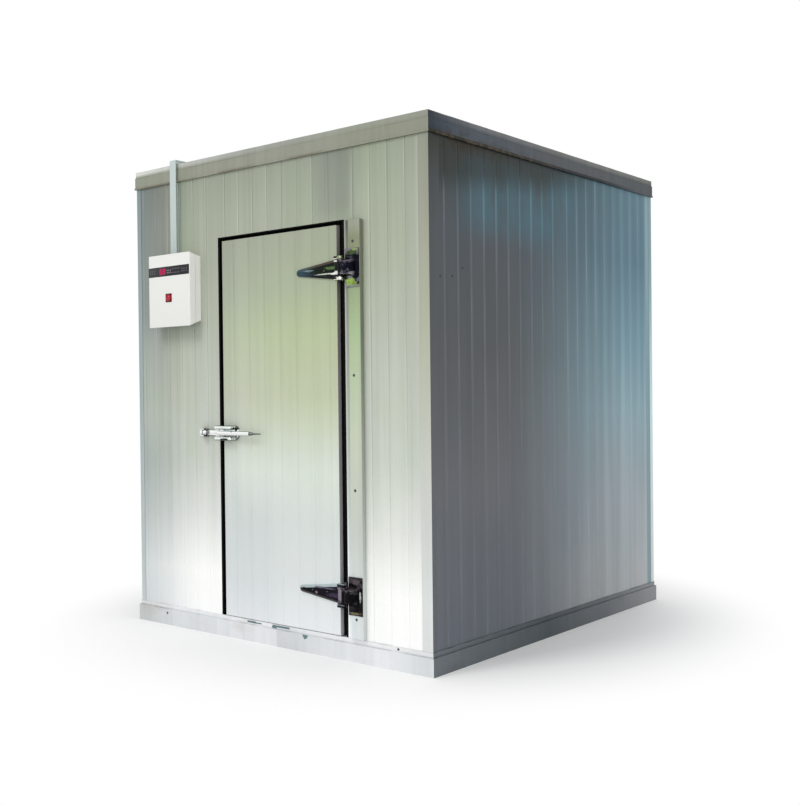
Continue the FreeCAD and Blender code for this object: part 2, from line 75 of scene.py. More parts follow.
class Wire:  # a socket in a node tree that can be used in sums
    def __init__(self, tree, socket=None):
        self.tree = tree
        self.socket = socket

    def node(self, kind, settings=None, inputs=None, output=0):
        made = self.tree.nodes.new(kind)
        for name, setting in (settings or {}).items():
            if name == "stops":
                fillRamp(made.color_ramp, setting)
            else:
                setattr(made, name, setting)
        for key, value in (inputs or {}).items():
            if isinstance(value, Wire):
                self.tree.links.new(value.socket, made.inputs[key])
            else:
                made.inputs[key].default_value = value
        return Wire(self.tree, made.outputs[output])

    def sum(self, operation, first, second=0.0):
        return self.node("ShaderNodeMath", {"operation": operation}, {0: first, 1: second})

    def __add__(self, other):
        return self.sum("ADD", self, other)

    def __radd__(self, other):
        return self.sum("ADD", other, self)

    def __sub__(self, other):
        return self.sum("SUBTRACT", self, other)

    def __rsub__(self, other):
        return self.sum("SUBTRACT", other, self)

    def __mul__(self, other):
        return self.sum("MULTIPLY", self, other)

    def __rmul__(self, other):
        return self.sum("MULTIPLY", other, self)

    def __truediv__(self, other):
        return self.sum("DIVIDE", self, other)

    def __pow__(self, other):
        return self.sum("POWER", self, other)

    def __mod__(self, other):
        return self.sum("FLOORED_MODULO", self, other)

    def __abs__(self):
        return self.sum("ABSOLUTE", self)

    def rise(self, low, high):  # 0 at low, 1 at high, smooth between
        return self.node("ShaderNodeMapRange", {"interpolation_type": "SMOOTHSTEP"},
                         {"Value": self, "From Min": low, "From Max": high})

    def mix(self, low, high, blend="MIX"):  # this socket is the share of high
        return self.node("ShaderNodeMix", {"data_type": "RGBA", "blend_type": blend},
                         {0: self, 6: low, 7: high}, 2)

    def shade(self, colour, red, green, blue):  # darkens a colour, by this share
        return self.mix(colour, tint(red, green, blue), "MULTIPLY")

    def ramp(self, stops):  # each stop is a place and a colour as it looks on a screen
        return self.node("ShaderNodeValToRGB", {"stops": stops}, {"Fac": self})

    def noise(self, scale, stretch=(1.0, 1.0, 1.0), detail=2.0, shift=(0.0, 0.0, 0.0)):
        place = self.node("ShaderNodeMapping", None,
                          {"Vector": self, "Scale": stretch, "Location": shift})
        return self.node("ShaderNodeTexNoise", None,
                         {"Vector": place, "Scale": scale, "Detail": detail})


def fillRamp(ramp, stops):
    while len(ramp.elements) < len(stops):
        ramp.elements.new(0.5)
    for element, (place, *colour) in zip(ramp.elements, stops):
        element.position = place
        element.color = tint(*colour)


def startMaterial(name, metallic=0.0, roughness=0.5, coat=0.0, specular=0.5):
    material = bpy.data.materials.new(name)
    material.use_nodes = True
    tree = material.node_tree
    shader = tree.nodes["Principled BSDF"]
    shader.inputs["Metallic"].default_value = metallic
    shader.inputs["Roughness"].default_value = roughness
    shader.inputs["Coat Weight"].default_value = coat
    shader.inputs["Specular IOR Level"].default_value = specular
    at = Wire(tree).node("ShaderNodeTexCoord", output="Object")
    return material, shader, at


def plug(shader, socket, wire):
    wire.tree.links.new(wire.socket, shader.inputs[socket])


def bump(shader, height, distance):
    bumped = height.node("ShaderNodeBump", None, {"Height": height, "Distance": distance})
    plug(shader, "Normal", bumped)


def axes(at):
    split = at.node("ShaderNodeSeparateXYZ", None, {"Vector": at})
    return [Wire(at.tree, socket) for socket in split.socket.node.outputs]


def facing(at):  # how far a face looks right, back and up
    return axes(at.node("ShaderNodeTexCoord", output="Normal"))


# Zinc-coated sheet: pale and satin, its tone uneven from rib to rib, with fine upright
# streaks and spangle
sheet = {
    "height": 2.4,
    "reach": 2.4,             # the length that colours along a wall are spread over
    "farRib": 0.101,          # the first groove behind the seam of a side wall
    "farRibPitch": 0.098,
    "patchScale": 1.3,
    "bandScale": 9.0,
    "streakScale": 30.0,
    "spangleScale": 260.0,
    "wave": 0.0015,
}
insideTint = tint(0.90, 0.91, 0.91)


def sheetDetail(shader, at, colour, patchTint, patchShare, streakShare, bandShare=0.25):
    patch = at.noise(sheet["patchScale"], (1.6, 1.6, 0.8), 3.0).rise(0.42, 0.68)
    colour = (patch * patchShare).mix(colour, patchTint, "MULTIPLY")
    band = at.noise(sheet["bandScale"], (1.0, 1.0, 0.03), 1.0).rise(0.40, 0.62)
    colour = (band * bandShare).shade(colour, 0.80, 0.81, 0.80)
    streak = at.noise(sheet["streakScale"], (1.0, 1.0, 0.03), 3.0)
    colour = (streak.rise(0.35, 0.7) * streakShare).shade(colour, 0.78, 0.80, 0.78)
    spangle = at.noise(sheet["spangleScale"], (1.0, 1.0, 0.6), 1.0)
    colour = (spangle.rise(0.4, 0.7) * 0.10).shade(colour, 0.82, 0.84, 0.85)
    plug(shader, "Base Color", colour)
    plug(shader, "Roughness", 0.30 + 0.16 * streak + 0.05 * spangle)
    wave = at.noise(1.1, (1.0, 1.0, 0.5), 1.0)
    bump(shader, wave * 4.0 + streak * 0.12, sheet["wave"])


def grooves(across):  # where the face leans into a groove, seen along the wall
    return abs(across).rise(0.10, 0.18) * abs(across).rise(0.5, 0.3)


def flank(across):  # only the side of a groove that leans the way across grows
    return across.rise(0.10, 0.18) * across.rise(0.5, 0.3)


def patchy(at, scale=3.0):  # comes and goes along a groove or an edge: patchiness for painted highlights and shade along grooves and for marks along edges
    return at.noise(scale, (2.0, 2.0, 1.0), 3.0, (5.0, 5.0, 5.0)).rise(0.38, 0.64)


# the side walls' colours by height: near the front much darker than the front wall, painted shade;
# towards the back lighter and bluer, painted reflection; farTrim is the lighter copy for the far
# corner's trim
sideNear = [(0.05, 0.42, 0.44, 0.47), (0.33, 0.425, 0.435, 0.455),
            (0.58, 0.36, 0.37, 0.38), (0.80, 0.33, 0.35, 0.37), (0.88, 0.285, 0.305, 0.315),
            (0.95, 0.20, 0.215, 0.19)]
sideFar = [(0.05, 0.78, 0.79, 0.80), (0.30, 0.70, 0.76, 0.79),
           (0.46, 0.64, 0.765, 0.81), (0.60, 0.54, 0.70, 0.76), (0.80, 0.41, 0.57, 0.64),
           (0.95, 0.42, 0.57, 0.63)]
farTrim = [(0.05, 0.92, 0.93, 0.94), (0.30, 0.88, 0.94, 0.96),
           (0.46, 0.84, 0.95, 0.98), (0.60, 0.76, 0.89, 0.93), (0.72, 0.60, 0.74, 0.79),
           (0.83, 0.53, 0.67, 0.73)]
# a painted reflection: lighter towards the floor, darker and greener towards the top
frontTones = [(0.04, 1.0, 1.0, 1.0), (0.13, 1.0, 1.0, 0.99),
              (0.25, 0.88, 0.89, 0.875), (0.375, 0.79, 0.81, 0.775), (0.52, 0.75, 0.77, 0.725),
              (0.625, 0.715, 0.735, 0.685), (0.80, 0.66, 0.68, 0.62), (0.875, 0.635, 0.66, 0.60),
              (0.955, 0.59, 0.615, 0.555)]


def makeFrontSheet():
    material, shader, at = startMaterial("frontSheet", 0.15, specular=0.2)
    x, y, z = axes(at)
    right, back = facing(at)[:2]
    colour = (z / sheet["height"]).ramp(frontTones)
    upper = z.rise(0.5, 1.9)
    chest = z.rise(0.80, 1.15) * z.rise(1.65, 1.40)
    # darker and bluer towards the left edge, less so at chest height, bluer near the top-left:
    # painted shade
    edge = x.rise(-0.45, -0.96) * (1.0 - chest * 0.55)
    colour = edge.shade(colour, 0.84, 0.86, 0.87)
    colour = (upper * x.rise(-0.70, -0.97)).shade(colour, 0.94, 0.95, 1.0)
    grey = upper * x.rise(-0.60, -0.72) * x.rise(-0.97, -0.80)
    colour = grey.shade(colour, 0.95, 0.93, 0.95)
    # painted shadow of the control box on the wall below it
    below = z.rise(1.40, 1.53) * z.rise(1.64, 1.60) * x.rise(-0.84, -0.76) * x.rise(-0.42, -0.52)
    colour = (below * 0.6).shade(colour, 0.89, 0.90, 0.89)
    # a bluish-grey painted reflection on the wall above the door
    wander = at.noise(2.5, (1.0, 1.0, 0.5), 1.0) * 0.04 - 0.02
    blueReflection = (x + wander).rise(0.24, 0.42) * (x + wander).rise(0.62, 0.48) * z.rise(1.88, 2.08)
    colour = blueReflection.shade(colour, 0.875, 0.875, 0.895)
    colour = (x.rise(0.905, 0.93) * upper * 0.12).mix(colour, tint(1.0, 1.0, 0.96))
    # one flank of each groove painted lighter and the other darker: painted highlight and painted
    # shade, stronger higher up
    colour = (flank(right) * (0.02 + 0.08 * upper * patchy(at))).mix(colour, tint(1.0, 1.0, 0.98))
    dark = flank(right * -1.0) * (0.4 + 0.6 * patchy(at)) * (0.25 + 0.55 * upper)
    colour = dark.shade(colour, 0.84, 0.85, 0.82)
    # faces that look to the right take the side walls' painted shade
    colour = right.rise(0.5, 0.8).mix(colour, (z / sheet["height"]).ramp(sideNear))
    colour = back.rise(0.3, 0.7).mix(colour, insideTint)
    detail = z.rise(0.1, 1.1)
    sheetDetail(shader, at, colour, tint(0.96, 0.99, 0.93), 0.1 + detail * 0.4,
                0.04 + detail * 0.16, 0.02 + detail * 0.13)
    return material


# the back's colours by height, lighter towards the floor: the front's painted reflection repeated
backTones = [(0.05, 0.90, 0.91, 0.90), (0.50, 0.78, 0.80, 0.77), (0.95, 0.68, 0.70, 0.66)]


def makeBackSheet():
    material, shader, at = startMaterial("backSheet", 0.15, specular=0.2)
    z = axes(at)[2]
    right, back = facing(at)[:2]
    colour = (z / sheet["height"]).ramp(backTones)
    # faces that look to the right take a darker, bluer colour: painted shade
    colour = right.rise(0.5, 0.8).mix(colour, tint(0.56, 0.67, 0.70))
    colour = back.rise(-0.3, -0.7).mix(colour, insideTint)
    # the grooves painted darker: painted shade
    colour = (grooves(right) * 0.7).shade(colour, 0.84, 0.85, 0.83)
    sheetDetail(shader, at, colour, tint(0.95, 0.98, 0.95), 0.4, 0.12, 0.10)
    return material


# colours by height for the door's faces that look to the right: painted shade
doorEdgeShade = [(0.05, 0.84, 0.84, 0.86), (0.40, 0.72, 0.70, 0.72),
            (0.70, 0.60, 0.57, 0.57), (0.81, 0.66, 0.62, 0.63)]


def makeDoorSheet():
    material, shader, at = startMaterial("doorSheet", 0.15, specular=0.2)
    x, y, z = axes(at)
    right, back = facing(at)[:2]
    # lighter towards the floor and darker, greener towards the top: painted reflection
    colour = (z / sheet["height"]).ramp([
        (0.05, 0.935, 0.945, 0.955), (0.125, 0.89, 0.905, 0.905), (0.25, 0.86, 0.88, 0.87),
        (0.35, 0.87, 0.895, 0.86), (0.50, 0.77, 0.79, 0.71), (0.625, 0.73, 0.765, 0.655),
        (0.71, 0.68, 0.71, 0.63), (0.82, 0.64, 0.66, 0.59)])
    band = z.rise(0.88, 1.15) * z.rise(2.0, 1.5) * x.rise(-0.25, 0.35)
    colour = (band * 0.5).shade(colour, 0.98, 1.0, 0.90)
    left = x.rise(-0.15, -0.26) + x.rise(0.20, -0.10) * z.rise(0.85, 0.50)
    colour = (0.4 + left * 0.6).shade(colour, 0.945, 0.95, 0.955)
    upper = z.rise(0.7, 1.9)
    # the grooves painted darker, more so higher up: painted shade
    line = grooves(right) * (0.4 + 0.4 * patchy(at)) * (0.14 + 0.22 * upper)
    colour = line.shade(colour, 0.84, 0.85, 0.82)
    # faces that look to the right take the edge's painted shade
    colour = right.rise(0.5, 0.8).mix(colour, (z / sheet["height"]).ramp(doorEdgeShade))
    colour = back.rise(0.3, 0.7).mix(colour, insideTint)
    detail = z.rise(0.1, 1.1)
    sheetDetail(shader, at, colour, tint(0.97, 0.99, 0.95), 0.1 + detail * 0.3,
                0.04 + detail * 0.08, 0.02 + detail * 0.05)
    return material


def makeSideSheet():
    material, shader, at = startMaterial("sideSheet", 0.15, specular=0.15)
    x, y, z = axes(at)
    right, back = facing(at)[:2]
    level = z / sheet["height"]
    # darker near the front corner, lighter and bluer towards the back: painted shade and painted
    # reflection
    near, far = level.ramp(sideNear), level.ramp(sideFar)
    colour = y.rise(-0.55, 1.15).mix(near, far)
    # a cloudy teal painted reflection high on the side wall
    tealReflection = z.rise(1.84, 2.03) * z.rise(2.32, 2.22) * y.rise(-0.95, -0.60) * y.rise(0.60, 0.10)
    cloud = at.noise(2.2, (1.0, 1.6, 1.0), 3.0).rise(0.34, 0.60)
    colour = (tealReflection * cloud * 0.6).mix(colour, tint(0.31, 0.46, 0.52))
    shadow = (z - y * 0.12).rise(2.15, 2.29) * y.rise(0.55, -0.10)
    colour = (shadow * 0.75).mix(colour, tint(0.19, 0.21, 0.20))
    # the grooves painted lighter, teal within the teal reflection and near white towards the back:
    # painted highlight
    grooveHighlightTint = tealReflection.mix(tint(0.53, 0.56, 0.60), tint(0.48, 0.64, 0.68))
    farther = y.rise(-0.10, 0.50)
    grooveHighlightTint = farther.mix(grooveHighlightTint, tint(0.92, 0.98, 1.0))
    line = grooves(back) * (0.12 + 0.12 * z.rise(0.9, 2.0) + 0.16 * patchy(at)) * (1.0 - shadow)
    colour = (line * (1.0 - 0.75 * farther)).mix(colour, grooveHighlightTint)
    # towards the back, darker between the grooves, so that each groove's painted highlight looks
    # wider: painted shade
    half = sheet["farRibPitch"] / 2
    betweenGrooveShade = abs((y - sheet["farRib"] + half) % sheet["farRibPitch"] - half).rise(0.008, 0.044)
    betweenGrooveShade = betweenGrooveShade * farther
    colour = (betweenGrooveShade * 0.6 * z.rise(0.2, 1.9)).shade(colour, 0.90, 0.90, 0.91)
    tone = at.noise(11.0, (1.0, 1.0, 0.03), 2.0, (3.0, 3.0, 3.0)).rise(0.42, 0.60)
    colour = (tone * y.rise(-0.2, 0.8) * 0.2).shade(colour, 0.84, 0.80, 0.79)
    stain = z.rise(2.235, 2.295) * y.rise(-0.30, -0.75) \
        * at.noise(26.0, (1.0, 1.0, 0.6), 4.0, (2.0, 2.0, 2.0)).rise(0.40, 0.60)
    colour = (stain * 0.8).mix(colour, tint(0.20, 0.16, 0.11))
    # faces that look forwards or backwards take a plain grey instead of the side's painted shade
    turned = abs(right).rise(0.7, 0.3) * abs(back).rise(0.5, 0.8)
    colour = turned.mix(colour, tint(0.72, 0.74, 0.74))
    inward = (x * right).rise(-0.3, -0.6)
    colour = inward.mix(colour, insideTint)
    sheetDetail(shader, at, colour, tint(0.90, 0.95, 0.97), 0.35, 0.12, 0.12)
    return material


def makeTrim(name, stops, side=None):  # side: stops for faces that look to the right or left, which carry painted light and shade
    material, shader, at = startMaterial(name, 0.15, specular=0.2)
    level = axes(at)[2] / sheet["height"]
    colour = level.ramp(stops)
    if side:
        colour = abs(facing(at)[0]).rise(0.5, 0.8).mix(colour, level.ramp(side))
    sheetDetail(shader, at, colour, tint(0.94, 0.95, 0.93), 0.4, 0.15, 0.15)
    return material


base = {  # heights of the channel's step and top
    "step": 0.082,
    "top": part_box("base_channel_right")[1][2],
}


def makeBaseSheet(name, across, stops, lipHighlightShare):  # across: the axis the colours run along
    material, shader, at = startMaterial(name, 0.15, specular=0.2)
    place = axes(at)
    z = place[2]
    colour = (place[across] / sheet["reach"] + 0.5).ramp(stops)
    step = z.rise(base["step"] - 0.004, base["step"] - 0.001) \
        * z.rise(base["step"] + 0.003, base["step"])
    rim = z.rise(base["top"] - 0.004, base["top"] - 0.001)
    colour = ((step * 0.35 + rim * 0.8) * patchy(at, 5.0)).shade(colour, 0.62, 0.61, 0.60)
    # a painted highlight along the lip above the step, on the front's channel only
    lip = z.rise(base["step"] + 0.002, base["step"] + 0.006)
    colour = (lip * lipHighlightShare).mix(colour, tint(1.0, 1.0, 1.0))
    stain = at.noise(4.0, (1.0, 1.0, 3.0), 3.0).rise(0.50, 0.75)
    colour = (stain * 0.5).shade(colour, 0.90, 0.88, 0.86)
    sheetDetail(shader, at, colour, tint(0.95, 0.95, 0.97), 0.4, 0.12, 0.08)
    return material


fascia = {  # heights of its bends
    "top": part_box("fascia_front")[1][2],
    "fold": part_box("fascia_front")[1][2] - 0.030,
    "hem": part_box("fascia_front")[0][2] + 0.008,
}


def makeFasciaSheet(name, across, lower, upper, stainedAndShaded):  # both run along the axis across; the last argument turns on stains and the painted shade under the hem
    material, shader, at = startMaterial(name, 0.15, specular=0.2)
    place = axes(at)
    x, y, z = place
    along = place[across] / sheet["reach"] + 0.5
    colour = z.rise(fascia["fold"] - 0.002, fascia["top"] - 0.010).mix(
        along.ramp(lower), along.ramp(upper))
    fold = z.rise(fascia["fold"] - 0.005, fascia["fold"] - 0.001) \
        * z.rise(fascia["fold"] + 0.003, fascia["fold"])
    colour = (fold * patchy(at) * 0.6).shade(colour, 0.84, 0.84, 0.82)
    top = z.rise(fascia["top"] - 0.004, fascia["top"] - 0.001)
    colour = (top * patchy(at, 5.0) * 0.7).mix(colour, tint(0.70, 0.71, 0.69))
    near = x.rise(0.55, 0.98) * y.rise(0.2, -0.9)
    low = z.rise(fascia["fold"], fascia["hem"])
    blotch = at.noise(9.0, (1.0, 1.0, 2.0), 4.0).rise(0.42, 0.58) * near
    colour = (blotch * low * stainedAndShaded * 0.6).shade(colour, 0.66, 0.58, 0.50)
    rust = at.noise(30.0, (1.0, 1.0, 1.0), 4.0).rise(0.46, 0.66)
    # along the hem: a rust-brown stain towards the front corner, near black towards the back, the
    # latter painted shade under the hem
    rustAndHemShade = (y + 0.2).rise(0.0, 0.3).mix(
        rust.mix(tint(0.12, 0.11, 0.08), tint(0.28, 0.24, 0.17)), tint(0.07, 0.09, 0.13))
    edge = z.rise(fascia["hem"] + 0.010, fascia["hem"] + 0.003) * y.rise(0.95, 0.45)
    colour = (edge * stainedAndShaded).mix(colour, rustAndHemShade)
    brown = z.rise(fascia["hem"] + 0.002, fascia["hem"] - 0.002) * patchy(at, 2.0)
    colour = (brown * (1.0 - stainedAndShaded) * 0.5).shade(colour, 0.72, 0.62, 0.54)
    sheetDetail(shader, at, colour, tint(0.95, 0.96, 0.92), 0.5, 0.2, 0.15)
    return material


def makePlain(name, colour, roughness, metallic=0.0, coat=0.0, grain=200.0, lift=0.0002,
              specular=0.5, side=None, mottle=0.5):  # side: colour of faces to the right or left, painted light
    material, shader, at = startMaterial(name, metallic, roughness, coat, specular)
    fine = at.noise(grain, detail=2.0)
    if side:
        colour = abs(facing(at)[0]).rise(0.5, 0.9).mix(colour, side)
    plug(shader, "Base Color", (fine.rise(0.35, 0.7) * mottle).shade(colour, 0.93, 0.93, 0.93))
    plug(shader, "Roughness", roughness * (0.9 + 0.2 * fine))
    bump(shader, fine, lift)
    return material


def makeChrome(name, stops, glints, cloudShare=0.10, reflectionAlongX=None):
    # a polished casting: its colour is a painted reflection of what it mirrors, going by slope; a
    # glint is a painted highlight or spot of painted shade: its middle's x and z, its half width
    # and height, and its colour; the last argument: from x, to x, and the colour of a painted
    # reflection that takes over along x
    material, shader, at = startMaterial(name, 0.9, 0.15)
    x, y, z = axes(at)
    cloud = at.noise(26.0, (1.0, 1.0, 1.6), 3.0)
    slope = facing(at)[2] * 0.5 + 0.5 + (cloud - 0.5) * cloudShare
    colour = slope.ramp(stops)
    if reflectionAlongX:
        colour = x.rise(*reflectionAlongX[:2]).mix(colour, reflectionAlongX[2])
    ragged = (at.noise(90.0, detail=3.0) - 0.5) * 3.2
    for middleX, middleZ, sizeX, sizeZ, *glint in glints:
        away = ((x - middleX) / sizeX) ** 2.0 + ((z - middleZ) / sizeZ) ** 2.0
        colour = (away + ragged).rise(1.5, 0.4).mix(colour, tint(*glint))
    plug(shader, "Base Color", colour)
    smear = at.noise(60.0, detail=2.0)
    plug(shader, "Roughness", 0.12 + 0.14 * smear)
    return material


frontBase = [(0.11, 0.79, 0.80, 0.80), (0.22, 0.87, 0.88, 0.89),
             (0.52, 0.91, 0.915, 0.925), (0.524, 0.83, 0.84, 0.85), (0.65, 0.88, 0.89, 0.90),
             (0.79, 0.93, 0.935, 0.945), (0.90, 0.86, 0.875, 0.88)]
# the side's channel colours, a much darker copy of the front's: painted shade
sideBase = [(0.08, 0.44, 0.47, 0.49), (0.45, 0.31, 0.34, 0.36),
            (0.70, 0.44, 0.46, 0.48), (0.90, 0.60, 0.61, 0.62)]
